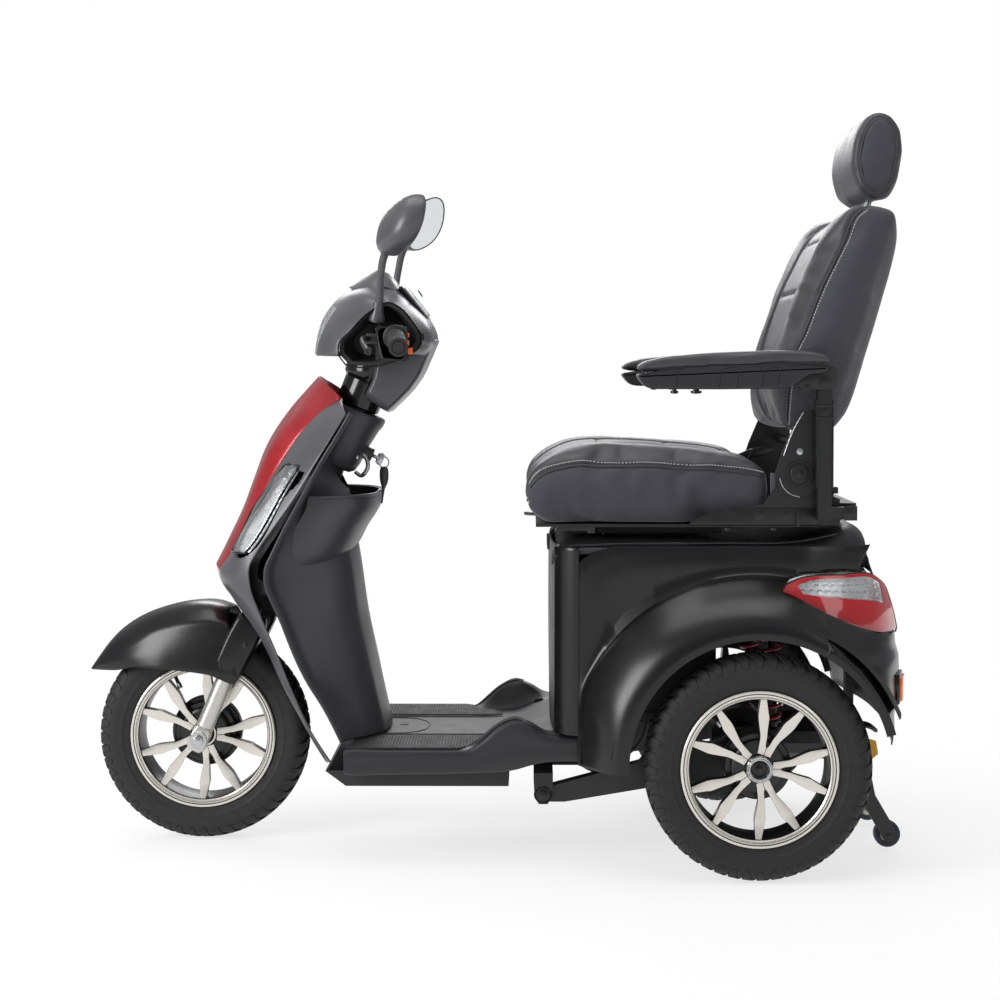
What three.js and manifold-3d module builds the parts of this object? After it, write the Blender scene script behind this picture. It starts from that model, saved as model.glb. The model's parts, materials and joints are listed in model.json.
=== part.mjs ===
// Three-wheeled mobility scooter, in millimetres: +X forward, +Y to the rider's left, +Z up.
// The origin is on the ground, under the middle of the scooter's length.
import * as THREE from "three";
import { mergeVertices } from "three/addons/utils/BufferGeometryUtils.js";
import Module from "manifold-3d";

const wasm = await Module();
wasm.setup();

// ---- Driving dimensions ----
const REAR_AXLE_X = -486;
const WHEELBASE = 1040;
const TYRE_R = 204; // 3.00-10 tyre, 408 mm over the tread
const TYRE_HALF = 40;
const RIM_R = 132;
const TRACK_HALF = 300;
const RAKE = THREE.MathUtils.degToRad(23);
const FORK_OFFSET = 25; // steering axis behind the fork legs
const LEG_Y = 66;
const FORK_TRAVEL = 40;
const SEAT_X = -300; // seat swivel axis
const FLOOR_Z = 216;
const FLOOR_HALF = 228;
const DECK_Z = 596; // top of the rear deck
const HINGE = [-565, 724]; // backrest hinge, x and z
const ARM_PIVOT = [-606, 889]; // armrest pivot, x and z
const ARM_Y = 275;
const PIVOT = [-104, 124]; // swing arm pivot, x and z
const GAP = 0.4; // between pieces that meet face to face
const SKIN = 3.5; // moulded panel thickness
const SEAM = [0.11, 0.31, 0.94]; // a direction no tube runs along

const FRONT_AXLE = new THREE.Vector3(REAR_AXLE_X + WHEELBASE, 0, TYRE_R);
const REAR_AXLE = new THREE.Vector3(REAR_AXLE_X, 0, TYRE_R);
const UP_FORK = new THREE.Vector3(-Math.sin(RAKE), 0, Math.cos(RAKE));
const BEHIND_FORK = new THREE.Vector3(-Math.cos(RAKE), 0, -Math.sin(RAKE));

// ---- Finishes ----
const finish = (color, roughness, metalness) => new THREE.MeshStandardMaterial({ color, roughness, metalness });
const BLACK_PLASTIC = finish(0x17181a, 0.5, 0);
const GREY_PLASTIC = finish(0x2c2d30, 0.45, 0);
const RED_PAINT = finish(0xa80f1d, 0.25, 0);
const RUBBER = finish(0x1b1b1c, 0.85, 0);
const FRAME_PAINT = finish(0x0d0d0e, 0.35, 0.2);
const ALLOY = finish(0xcfcac3, 0.35, 0.9);
const SILVER = finish(0xb9bbbd, 0.3, 0.9);
const VINYL = finish(0x2a2b2e, 0.6, 0);
const CLEAR_LENS = finish(0xe6e8ea, 0.1, 0);
const RED_LENS = finish(0xc4101c, 0.1, 0);
const SCREEN = finish(0xdfe6ea, 0.15, 0);
const YELLOW = finish(0xd9a514, 0.5, 0);
const ORANGE = finish(0xe8641b, 0.4, 0);
const CASE = finish(0x303134, 0.6, 0);

// ---- Solids ----
const scooter = new THREE.Group();

/** A closed BufferGeometry as a manifold solid, its faces turned outwards. */
function solid(geometry) {
  const loose = geometry.index ? geometry.toNonIndexed() : geometry;
  const bare = new THREE.BufferGeometry().setAttribute("position", loose.getAttribute("position"));
  const merged = mergeVertices(bare, 1e-3);
  const vertProperties = merged.attributes.position.array;
  const triVerts = new Uint32Array(merged.index.array);
  const made = new wasm.Manifold(new wasm.Mesh({ numProp: 3, vertProperties, triVerts }));
  if (made.volume() >= 0) return made;
  for (let i = 0; i < triVerts.length; i += 3)
    [triVerts[i + 1], triVerts[i + 2]] = [triVerts[i + 2], triVerts[i + 1]];
  return new wasm.Manifold(new wasm.Mesh({ numProp: 3, vertProperties, triVerts }));
}

/** A manifold solid as a BufferGeometry. */
function geometryOf(made) {
  const mesh = made.getMesh();
  const position = new THREE.BufferAttribute(new Float32Array(mesh.vertProperties), 3);
  return new THREE.BufferGeometry().setAttribute("position", position).setIndex([...mesh.triVerts]);
}

function part(name, made, material, place = null) {
  const mesh = new THREE.Mesh(geometryOf(made), material);
  mesh.name = name;
  if (place) mesh.position.copy(place);
  scooter.add(mesh);
}

const join = (first, ...rest) => rest.reduce((whole, next) => whole.add(next), first);
const cut = (first, ...rest) => rest.reduce((whole, next) => whole.subtract(next), first);

function box(x0, x1, y0, y1, z0, z1) {
  const g = new THREE.BoxGeometry(x1 - x0, y1 - y0, z1 - z0);
  return solid(g.translate((x0 + x1) / 2, (y0 + y1) / 2, (z0 + z1) / 2));
}

/** A box turned about Y, so that its own z axis leans back by the angle. */
function leaningBox(centre, size, angle) {
  const g = new THREE.BoxGeometry(...size).rotateY(-angle);
  return solid(g.translate(centre.x, centre.y, centre.z));
}

/** A solid through rings of points, with the first and the last ring capped by the given triangles. */
function skin(rings, firstCap, lastCap = firstCap) {
  const count = rings[0].length;
  const index = [];
  for (let k = 0; k < rings.length - 1; k++)
    for (let i = 0; i < count; i++) {
      const j = (i + 1) % count;
      const [a, b, c, d] = [k * count + i, k * count + j, (k + 1) * count + j, (k + 1) * count + i];
      index.push(a, b, c, a, c, d);
    }
  const last = (rings.length - 1) * count;
  firstCap.forEach(([a, b, c]) => index.push(a, c, b));
  lastCap.forEach(([a, b, c]) => index.push(last + a, last + b, last + c));
  const g = new THREE.BufferGeometry();
  g.setAttribute("position", new THREE.Float32BufferAttribute(rings.flat(2), 3));
  return solid(g.setIndex(index));
}

/** A round bar between two points; a second radius makes it a cone. */
function bar(from, to, radius, endRadius = radius, sides = 14) {
  const a = new THREE.Vector3(...from);
  const along = new THREE.Vector3(...to).sub(a);
  const g = new THREE.CylinderGeometry(endRadius, radius, along.length(), sides);
  g.translate(0, along.length() / 2, 0);
  g.applyQuaternion(new THREE.Quaternion().setFromUnitVectors(new THREE.Vector3(0, 1, 0), along.normalize()));
  return solid(g.translate(a.x, a.y, a.z));
}

/** A round tube through points, mitred at its corners. */
function pipe(points, radius, sides = 10) {
  const at = points.map((p) => new THREE.Vector3(...p));
  const rings = at.map((p, i) => {
    const before = i ? p.clone().sub(at[i - 1]).normalize() : null;
    const after = i < at.length - 1 ? at[i + 1].clone().sub(p).normalize() : before;
    const along = (before ?? after).clone().add(after).normalize();
    const seam = new THREE.Vector3(...SEAM).cross(along).normalize();
    const other = along.clone().cross(seam);
    return Array.from({ length: sides }, (_, k) => {
      const turn = (k * 2 * Math.PI) / sides;
      const q = p.clone().addScaledVector(seam, radius * Math.cos(turn)).addScaledVector(other, radius * Math.sin(turn));
      return q.toArray();
    });
  });
  return skin(rings, THREE.ShapeUtils.triangulateShape(
    rings[0].map((_, k) => new THREE.Vector2(Math.cos((k * 2 * Math.PI) / sides), Math.sin((k * 2 * Math.PI) / sides))), []));
}

/** A side outline of [x, z] points, y0 to y1 thick. */
function plate(outline, y0, y1) {
  const shape = new THREE.Shape(outline.map(([x, z]) => new THREE.Vector2(x, z)));
  const g = new THREE.ExtrudeGeometry(shape, { depth: y1 - y0, bevelEnabled: false });
  return solid(g.rotateX(Math.PI / 2).translate(0, y1, 0));
}

/** A closed [radius, y] profile turned about the Y axis. */
const turned = (profile, segments = 28) =>
  solid(new THREE.LatheGeometry([...profile, profile[0]].map(([r, y]) => new THREE.Vector2(r, y)), segments));

/** A solid through outlines of [x, z] points that stand at rising y. */
function loft(sections) {
  const flat = (s) => s.outline.map(([x, z]) => new THREE.Vector2(x, z));
  const reverse = THREE.ShapeUtils.area(flat(sections[0])) < 0;
  const rings = sections.map((s) => (reverse ? [...s.outline].reverse() : s.outline).map(([x, z]) => [x, s.y, z]));
  const cap = (ring) => THREE.ShapeUtils.triangulateShape(ring.map(([x, , z]) => new THREE.Vector2(x, z)), []);
  return skin(rings, cap(rings[0]), cap(rings.at(-1)));
}

/** A panel of even thickness behind a grid of [x, y, z] points, on the side of the point "toward". */
function panel(grid, thickness, toward, proud = 0) {
  const rows = grid.length;
  const columns = grid[0].length;
  const at = (r, c) =>
    new THREE.Vector3(...grid[Math.min(Math.max(r, 0), rows - 1)][Math.min(Math.max(c, 0), columns - 1)]);
  const normals = grid.map((row, r) =>
    row.map((_, c) => {
      const across = at(r, c + 1).sub(at(r, c - 1));
      const down = at(r + 1, c).sub(at(r - 1, c));
      return across.cross(down).normalize();
    }),
  );
  const inside = new THREE.Vector3(...toward);
  const sum = normals.flat().reduce((total, n, i) => {
    const p = at(Math.floor(i / columns), i % columns);
    return total + n.dot(inside.clone().sub(p).normalize());
  }, 0);
  const way = Math.sign(sum);
  const surface = (d) =>
    grid.flatMap((row, r) => row.flatMap((_, c) => at(r, c).addScaledVector(normals[r][c], d * way).toArray()));
  const index = [];
  const layer = rows * columns;
  const quad = (a, b, c, d) => index.push(a, b, c, a, c, d);
  for (let r = 0; r < rows - 1; r++)
    for (let c = 0; c < columns - 1; c++) {
      const a = r * columns + c;
      quad(a, a + 1, a + columns + 1, a + columns);
      quad(layer + a, layer + a + columns, layer + a + columns + 1, layer + a + 1);
    }
  for (let c = 0; c < columns - 1; c++) {
    const end = (rows - 1) * columns + c;
    quad(c, layer + c, layer + c + 1, c + 1);
    quad(end, end + 1, layer + end + 1, layer + end);
  }
  for (let r = 0; r < rows - 1; r++) {
    const a = r * columns;
    const b = a + columns - 1;
    quad(a, a + columns, layer + a + columns, layer + a);
    quad(b, layer + b, layer + b + columns, b + columns);
  }
  const g = new THREE.BufferGeometry();
  g.setAttribute("position", new THREE.Float32BufferAttribute([...surface(-proud), ...surface(thickness)], 3));
  return solid(g.setIndex(index));
}

/** A half row of points from the middle outwards, as a full row from right to left. */
const bothSides = (half) => [
  ...half.slice(half[0][1] === 0 ? 1 : 0).reverse().map(([x, y, z]) => [x, -y, z]),
  ...half,
];
const onLeg = (t, y = 0) => FRONT_AXLE.clone().addScaledVector(UP_FORK, t).setY(y);
const onStem = (t, y = 0) => onLeg(t, y).addScaledVector(BEHIND_FORK, FORK_OFFSET);
const legBar = (t0, t1, y, r, sides = 14) => bar(onLeg(t0, y).toArray(), onLeg(t1, y).toArray(), r, r, sides);
const stemBar = (t0, t1, r, endRadius = r, sides = 16) =>
  bar(onStem(t0).toArray(), onStem(t1).toArray(), r, endRadius, sides);
const sides = [["left", 1], ["right", -1]];
const span = (side, near, far) => (side > 0 ? [near, far] : [-far, -near]);

// ---- Wheels ----
const TYRE_PROFILE = [
  [RIM_R + 0.4, -28], [144, -31], [174, -TYRE_HALF], [194, -34], [TYRE_R, -16],
  [TYRE_R, 16], [194, 34], [174, TYRE_HALF], [144, 31], [RIM_R + 0.4, 28],
];
const BARREL_PROFILE = [
  [RIM_R, -29], [RIM_R, 29], [RIM_R + 8, 32.5], [RIM_R + 8, 36], [RIM_R - 10, 36], [RIM_R - 10, -36],
  [RIM_R + 8, -36], [RIM_R + 8, -32.5],
];
const SPOKE = [[18, -9], [70, 2], [RIM_R - 8, 12], [RIM_R - 8, 26], [70, 16], [18, 9]];

/** Ten cast spokes in five pairs, on a hub, in the rim's barrel. drum is [radius, y0, y1]. */
function alloyWheel(bore, drum, outward) {
  const spokeY = outward > 0 ? [6, 26] : [-26, -6];
  const spokes = Array.from({ length: 5 }, (_, i) => i * 72).flatMap((degrees) =>
    [1, -1].map((hand) => {
      const turn = (Math.PI / 180) * (degrees + 90);
      const outline = SPOKE.map(([r, w]) => [
        r * Math.cos(turn) - hand * w * Math.sin(turn),
        r * Math.sin(turn) + hand * w * Math.cos(turn),
      ]);
      return plate(hand > 0 ? outline : outline.reverse(), ...spokeY);
    }),
  );
  const hub = turned([[bore, -30], [26, -30], [26, 30], [bore, 30]], 16);
  const brake = turned([[bore, drum[1]], [drum[0], drum[1]], [drum[0], drum[2]], [bore, drum[2]]], 20);
  return join(turned(BARREL_PROFILE), hub, brake, ...spokes);
}

function frontWheel() {
  part("front_tyre", turned(TYRE_PROFILE), RUBBER, FRONT_AXLE);
  part("front_rim", alloyWheel(6.4, [64, -34, -4], 1), ALLOY, FRONT_AXLE);
}

function rearWheels() {
  for (const [name, side] of sides) {
    const place = REAR_AXLE.clone().setY(side * TRACK_HALF);
    const stub = bar([0, -side * 72, 0], [0, -side * 29, 0], 14);
    const drum = side > 0 ? [58, -44, -8] : [58, 8, 44];
    const cap = bar([0, side * 29, 0], [0, side * 44, 0], 24, 20);
    const rim = join(alloyWheel(10, drum, side), bar([0, -30, 0], [0, 30, 0], 14), stub, cap);
    part(`rear_tyre_${name}`, turned(TYRE_PROFILE), RUBBER, place);
    part(`rear_rim_${name}`, rim, ALLOY, place);
  }
}

// ---- Front fork and steering ----
function fork() {
  const crownAt = 290;
  const axle = FRONT_AXLE;
  const legs = (t0, t1, radius) => sides.map(([, side]) => legBar(t0, t1, side * LEG_Y, radius));
  const nuts = sides.map(([, side]) => bar([axle.x, side * 80, axle.z], [axle.x, side * 94, axle.z], 11, 11, 6));
  const spindle = bar([axle.x, -90, axle.z], [axle.x, 90, axle.z], 6);
  part("fork_lower", join(cut(join(...legs(-20, 170, 16.5)), ...legs(25, 175, 13.4)), spindle, ...nuts), SILVER);
  const centre = onLeg(crownAt).addScaledVector(BEHIND_FORK, FORK_OFFSET / 2);
  const crown = leaningBox(centre, [FORK_OFFSET + 44, 2 * LEG_Y + 40, 24], RAKE);
  part("fork_upper", join(crown, stemBar(crownAt, 822, 14), ...legs(72, crownAt, 13)), FRAME_PAINT);
}

/** The mudguard over the front wheel, with a box-shaped shroud round each fork leg. */
function frontFender() {
  const station = (degrees, r, half) => {
    const a = (Math.PI / 180) * degrees;
    const at = (radius, y) => [FRONT_AXLE.x + radius * Math.cos(a), y, FRONT_AXLE.z + radius * Math.sin(a)];
    return bothSides([at(r, 0), at(r - 2, half * 0.55), at(r - 14, half), at(r - 40, half + 4)]);
  };
  const arch = panel(
    [station(30, 262, 22), station(38, 262, 36), station(52, 262, 48), station(70, 260, 54), station(88, 258, 56),
      station(104, 258, 58), station(112, 258, 58)],
    SKIN, FRONT_AXLE.toArray());
  const shrouds = sides.map(([, side]) => {
    const [y0, y1] = span(side, 44, 92);
    const shell = leaningBox(onLeg(190, (y0 + y1) / 2), [54, y1 - y0, 124], RAKE);
    const [w0, w1] = span(side, 40, 88);
    return cut(shell, leaningBox(onLeg(185, (w0 + w1) / 2), [46, w1 - w0, 128], RAKE));
  });
  const legs = sides.map(([, side]) => legBar(100, 280, side * LEG_Y, 19));
  const { x, z } = FRONT_AXLE;
  const wheelRoom = bar([x, -42, z], [x, 42, z], 249, 249, 28);
  part("front_fender", cut(join(arch, ...shrouds), ...legs, wheelRoom), GREY_PLASTIC);
}

const GRIP_IN = [168, 200, 973];
const GRIP_OUT = [153, 322, 951];
const mirrorY = ([x, y, z], side) => [x, side * y, z];
const alongGrip = (t, side) => mirrorY(GRIP_IN.map((v, i) => v + (GRIP_OUT[i] - v) * t), side);

function handlebar() {
  const half = [[203, 60, 965], [190, 110, 980], GRIP_IN, GRIP_OUT];
  const points = [...[...half].reverse().map((p) => mirrorY(p, -1)), ...half];
  const pods = sides.map(([, side]) => plate([[146, 926], [190, 932], [204, 990], [150, 992]], ...span(side, 170, 198)));
  const hornWay = bar([141, 184, 945.5], [151, 184, 944.4], 6.6);
  part("handlebar", cut(join(pipe(points, 11), ...pods), hornWay), FRAME_PAINT);
  for (const [name, side] of sides) {
    const sleeve = bar(alongGrip(0.06, side), alongGrip(1, side), 17);
    const flange = bar(alongGrip(0.06, side), alongGrip(0.13, side), 23);
    const bore = bar(alongGrip(-0.2, side), alongGrip(1.2, side), 11.5);
    part(side > 0 ? "grip_left" : "throttle_grip", cut(join(sleeve, flange), bore), RUBBER);
    const lever = pipe([mirrorY([214, 186, 968], side), mirrorY([224, 214, 968], side),
      mirrorY([212, 300, 950], side), mirrorY([206, 330, 944], side)], 6, 10);
    part(`brake_lever_${name}`, lever, FRAME_PAINT);
  }
  part("horn_button", bar([145.5, 184, 945], [137, 184, 946], 6, 6, 12), ORANGE);
}

const COWL = [
  { y: 0, outline: [[268, 1072], [222, 1108], [186, 1096], [120, 1020], [98, 972], [188, 834], [240, 856],
    [262, 920], [335, 936], [324, 1010]] },
  { y: 60, outline: [[264, 1066], [220, 1100], [186, 1090], [121, 1018], [100, 972], [188, 838], [240, 860],
    [262, 920], [332, 937], [314, 1008]] },
  { y: 110, outline: [[252, 1046], [214, 1064], [180, 1052], [126, 1006], [108, 972], [176, 884], [228, 890],
    [262, 926], [316, 940], [292, 1000]] },
  { y: 160, outline: [[226, 1018], [196, 1034], [168, 1022], [136, 992], [130, 972], [156, 940], [196, 928],
    [236, 932], [274, 946], [252, 986]] },
];
const shrink = ({ y, outline }, share, yShare) => {
  const middle = [0, 1].map((i) => outline.reduce((t, p) => t + p[i], 0) / outline.length);
  return { y: y * yShare, outline: outline.map((p) => p.map((v, i) => middle[i] + (v - middle[i]) * share)) };
};
const fullLoft = (half) => loft([...half.slice(1).reverse().map((s) => ({ ...s, y: -s.y })), ...half]);

const LENS_ROWS = [[[337, 0, 938], [334, 55, 939], [319, 100, 942]], [[334, 0, 975], [328, 55, 975], [306, 100, 974]],
  [[322, 0, 1012], [315, 55, 1010], [293, 100, 1002]], [[290, 0, 1052], [284, 55, 1046], [268, 100, 1030]]];

function cowl() {
  const outside = fullLoft(COWL);
  const inside = fullLoft(COWL.map((s) => shrink(s, 0.91, 0.97)));
  const lensGrid = LENS_ROWS.map(bothSides);
  const lens = panel(lensGrid, 5, [200, 0, 980], 1);
  const lensRoom = panel(lensGrid.map((row, i) => row.map(([x, y, z]) => [x, y * 1.02, z + [-3, 0, 0, 3][i]])),
    26, [200, 0, 980], 12);
  const barHoles = sides.map(([, side]) => bar([185, side * 90, 977], alongGrip(0, side), 26));
  const mirrorHoles = sides.map(([, side]) => bar([208, side * 139, 984], [196, side * 159, 1070], 12));
  const shell = cut(outside, inside, lensRoom, ...barHoles, ...mirrorHoles, stemBar(600, 800, 40));
  const screen = leaningBox(new THREE.Vector3(151, 0, 1058), [8, 104, 62], -Math.atan2(66, 76));
  part("cowl", join(shell, screen), GREY_PLASTIC);
  part("headlight_lens", lens, CLEAR_LENS);
}

// The right mirror is set a little higher and further back than the left one.
function mirrors() {
  for (const [name, side, lift, back] of [["left", 1, 0, 0], ["right", -1, 34, 10]]) {
    const at = ([x, y, z], share = 1) => [x - back * share, side * y, z + lift * share];
    const stem = pipe([at([206, 142, 996], 0), at([200, 152, 1040], 0), at([192, 176, 1112]), at([172, 196, 1140])], 7);
    const place = (g) => {
      g.rotateX(side * 0.35).rotateZ(side * 0.5).translate(...at([160, 206, 1174]));
      return solid(g);
    };
    const dome = place(new THREE.SphereGeometry(1, 14, 9).scale(40, 66, 56));
    const front = place(new THREE.BoxGeometry(80, 200, 160).translate(36, 0, 0));
    const glass = new THREE.CylinderGeometry(1, 1, 3, 18).rotateZ(Math.PI / 2).scale(1, 50, 59)
      .rotateX(Math.PI / 2).translate(-5, 0, 0);
    part(`mirror_${name}`, join(stem, dome.intersect(front), place(glass)), BLACK_PLASTIC);
  }
}

// ---- Front body ----
// Side edges of the fairing from the top down, [front x, front y, z, rear x, rear z].
const FAIRING = [
  [275, 100, 858, 262, 834], [345, 106, 822, 285, 800], [403, 108, 741, 325, 738], [450, 108, 675, 365, 676],
  [503, 106, 551, 426, 576], [496, 104, 500, 436, 548], [442, 140, 444, 422, 474], [395, 150, 324, 361, 320],
  [343, 152, 242, 328, 246], [300, 152, 172, 288, 186],
];
// Middle line of the painted cover, x and z, beside the first six rows.
const NOSE = [[331, 898], [384, 842], [440, 750], [474, 668], [528, 540], [506, 486]];
// Rear edge of the leg shield's rim at y = 198, its inner corner, the pocket and the middle ridge.
const SHIELD = [
  [247, 826, 264, 284, 284], [270, 790, 300, 345, 336], [328, 690, 332, 300, 296], [386, 579, 374, 282, 262],
  [400, 541, 388, 270, 252], [370, 443, 348, 248, 236], [293, 283, 290, 208, 202], [262, 222, 258, 196, 188],
];

function fairing() {
  const rows = FAIRING.slice(0, 6).map(([x, y, z], i) => {
    const [nx, nz] = NOSE[i];
    return bothSides([[nx, 0, nz], [nx - (nx - x) * 0.2, y * 0.5, nz - (nz - z) * 0.25], [x, y - 1, z]]);
  });
  part("front_cover", panel(rows, SKIN, [200, 0, 500]), RED_PAINT);
  for (const [name, side] of sides) {
    const grid = FAIRING.map(([x, y, z, rx, rz]) => [
      [x, side * (y + 1), z],
      [x * 0.55 + rx * 0.45, side * (y * 0.35 + 198 * 0.65), z * 0.55 + rz * 0.45],
      [rx, side * 201, rz],
    ]);
    const lampGrid = [[404, 700, 372, 704], [430, 650, 402, 652], [456, 600, 428, 602], [470, 562, 450, 570]].map(
      ([x, z, rx, rz]) => [[x, side * 158, z], [rx, side * 184, rz]]);
    const lampRoom = panel(lampGrid.map((row) => row.map(([x, y, z]) => [x, y, z])), 22, [300, 0, 600], 30);
    part(`side_panel_${name}`, cut(panel(grid, SKIN, [300, 0, 500]), lampRoom), GREY_PLASTIC);
    const inset = lampGrid.map(([a, b], i) => {
      const slide = [-2, -0.6, 0.6, 2][i];
      return [[a[0] - 2, a[1] + side * 2.4, a[2] + slide], [b[0] + 2, b[1] - side * 1.6, b[2] + slide]];
    });
    part(`lamp_strip_${name}`, panel(inset, 5, [300, 0, 600], 2), CLEAR_LENS);
  }
}

function legShield() {
  const grid = SHIELD.map(([x, z, inner, pocket, ridge]) =>
    bothSides([[ridge, 0, z], [(ridge + pocket) / 2, 52, z], [pocket, 84, z], [inner, 172, z], [x, 184, z],
      [x + 4, 196, z]]));
  const wheelWay = stemBar(500, 720, 46);
  const shield = cut(panel(grid, SKIN, [500, 0, 400]), wheelWay);
  const keepOut = panel(grid, 300, [500, 0, 400], -SKIN / 2);
  const rim = [[330, 165], [300, 152], [262, 122], [232, 78], [216, 30], [214, 0]];
  const ring = (inset, z, lean) => rim.map(([x, y]) => [x + (330 - x) * lean + inset * 0.6, y - inset, z]);
  const layers = [[0, 676, 0], [0, 650, 0], [4, 600, 0.12], [14, 560, 0.34]];
  const outer = hull(layers.map(([inset, z, lean]) => ring(inset, z, lean)));
  const hollow = hull([[5, 690, 0], [5, 650, 0.02], [8, 604, 0.13], [16, 567, 0.34]].map(
    ([inset, z, lean]) => ring(inset, z, lean)));
  part("leg_shield", cut(join(shield, cut(outer, keepOut)), hollow, stemBar(500, 720, 66)), BLACK_PLASTIC);
  const collar = cut(join(stemBar(600, 650, 54, 58), stemBar(650, 692, 58, 62)), stemBar(560, 720, 40));
  const keyAt = lockFace();
  const lock = bar(behind(keyAt, -20), behind(keyAt, 9), 13);
  const sleeve = cut(collar, panel(grid, 90, [500, 0, 400], GAP));
  part("column_cover", join(sleeve, cut(lock, stemBar(560, 720, 50))), BLACK_PLASTIC);
}

/** A solid through level rings of half outlines, mirrored about y = 0 and closed flat at x = the first point's. */
function hull(layers) {
  const rings = layers.map((half) => [...half, ...half.slice(0, -1).reverse().map(([x, y, z]) => [x, -y, z])]);
  const fan = rings[0].slice(2).map((_, i) => [0, i + 1, i + 2]);
  return skin(rings, fan);
}

const lockFace = () => onStem(625).addScaledVector(BEHIND_FORK, 56);
const behind = (at, d) => at.clone().addScaledVector(BEHIND_FORK, d).toArray();

function ignition() {
  const out = (d) => behind(lockFace(), d);
  part("key", join(bar(out(9.4), out(20), 4, 4, 10), leaningBox(new THREE.Vector3(...out(25)), [12, 3, 22], RAKE)),
    SILVER);
  const hang = out(33);
  part("key_fob", plate([[hang[0] + 5, hang[2] - 11], [hang[0] + 7, hang[2] - 40], [hang[0], hang[2] - 70],
    [hang[0] - 7, hang[2] - 40], [hang[0] - 5, hang[2] - 11]], -6, 6), BLACK_PLASTIC);
}

// ---- Frame ----
function frame() {
  const down = pipe([[362, 0, 560], [308, 0, 440], [268, 0, 300], [244, 0, 212], [216, 0, 160]], 17);
  const beam = box(196, 236, -100, 100, 152, 182);
  const rails = sides.map(([, side]) => box(-120, 200, ...span(side, 48, 73), 156, 181));
  const head = join(stemBar(330, 590, 25), down);
  const ears = sides.flatMap(([, side]) => [[142, 148], [178, 184]].map(([a, b]) =>
    plate([[-122, 150], [-86, 150], [-88, 118], [-96, 106], [-112, 106], [-120, 118]], ...span(side, a, b))));
  const pivotPin = bar([PIVOT[0], -188, PIVOT[1]], [PIVOT[0], 188, PIVOT[1]], 8);
  const pivotBeam = box(-122, -86, -184, 184, 148, 164);
  part("main_frame", cut(join(head, beam, ...rails, pivotBeam, ...ears, pivotPin), stemBar(320, 600, 15)), FRAME_PAINT);
  const cross = box(-240, -122 - GAP, -74, 74, 155, 190);
  const tower = box(-240, -204, -25, 25, 185, 470);
  const top = box(-690, -204, -25, 25, 468, 508);
  const shockBeam = box(-545, -515, -172, 172, 470, 500);
  const post = join(bar([SEAT_X, 0, 500], [SEAT_X, 0, 594], 30), box(SEAT_X - 80, SEAT_X + 80, -80, 80, 588, 598));
  part("rear_frame", join(cross, tower, top, shockBeam, post), FRAME_PAINT);
}

function batteries() {
  const tray = box(-424, -246, -200, 200, 270, 280);
  part("battery_pack", join(tray, ...sides.map(([, side]) => box(-422, -250, ...span(side, 28, 196), 278, 446))), CASE);
}

function swingArm() {
  const [px, pz] = PIVOT;
  for (const [name, side] of sides) {
    const outline = [[px + 16, pz - 8], [px + 16, pz + 8], [px + 6, pz + 15], [px - 20, pz + 16],
      [REAR_AXLE_X + 50, 224], [REAR_AXLE_X + 24, 244], [REAR_AXLE_X - 64, 244], [REAR_AXLE_X - 64, 230],
      [REAR_AXLE_X - 34, 166], [REAR_AXLE_X + 30, 162], [px - 40, pz - 15], [px + 6, pz - 15]];
    const blank = plate(outline, ...span(side, 149, 177));
    const holes = [bar([px, -200, pz], [px, 200, pz], 8.4), bar([REAR_AXLE_X, -200, TYRE_R], [REAR_AXLE_X, 200, TYRE_R],
      30.4)];
    part(`swing_arm_${name}`, cut(blank, ...holes), FRAME_PAINT);
    part(`shock_${name}`, bar([-528, side * 163, 244 + GAP], [-528, side * 163, 470 - GAP], 21), RED_PAINT);
  }
  const tube = bar([REAR_AXLE_X, -226, TYRE_R], [REAR_AXLE_X, 226, TYRE_R], 30);
  const bore = bar([REAR_AXLE_X, -240, TYRE_R], [REAR_AXLE_X, 240, TYRE_R], 15);
  const gearCase = bar([REAR_AXLE_X, -45, TYRE_R], [REAR_AXLE_X, 45, TYRE_R], 58);
  const motor = bar([-530, 0, TYRE_R], [-680, 0, TYRE_R], 52);
  part("drive_unit", cut(join(tube, gearCase, motor), bore), FRAME_PAINT);
}

function antiTip() {
  const arms = sides.map(([, side]) => plate([[-688, 198], [-712, 198], [-730, 110], [-772, 38], [-764, 20],
    [-748, 22], [-704, 100]], ...span(side, 115, 125)));
  const axles = sides.map(([, side]) => bar([-756, side * 88, 32], [-756, side * 120, 32], 5, 5, 12));
  const tie = bar([-700, -125, 190], [-700, 125, 190], 12);
  part("anti_tip_frame", join(tie, ...arms, ...axles, box(-708, -692, -12, 12, 185, 506)), FRAME_PAINT);
  for (const [name, side] of sides) {
    const [y0, y1] = span(side, 91, 113);
    const wheel = cut(bar([-756, y0, 32], [-756, y1, 32], 25), bar([-756, -200, 32], [-756, 200, 32], 5.4));
    part(`anti_tip_wheel_${name}`, wheel, RUBBER);
  }
  part("freewheel_lever", plate([[-713, 208], [-742, 200], [-746, 176], [-728, 160], [-716, 180]], 60, 68), YELLOW);
}

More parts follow.
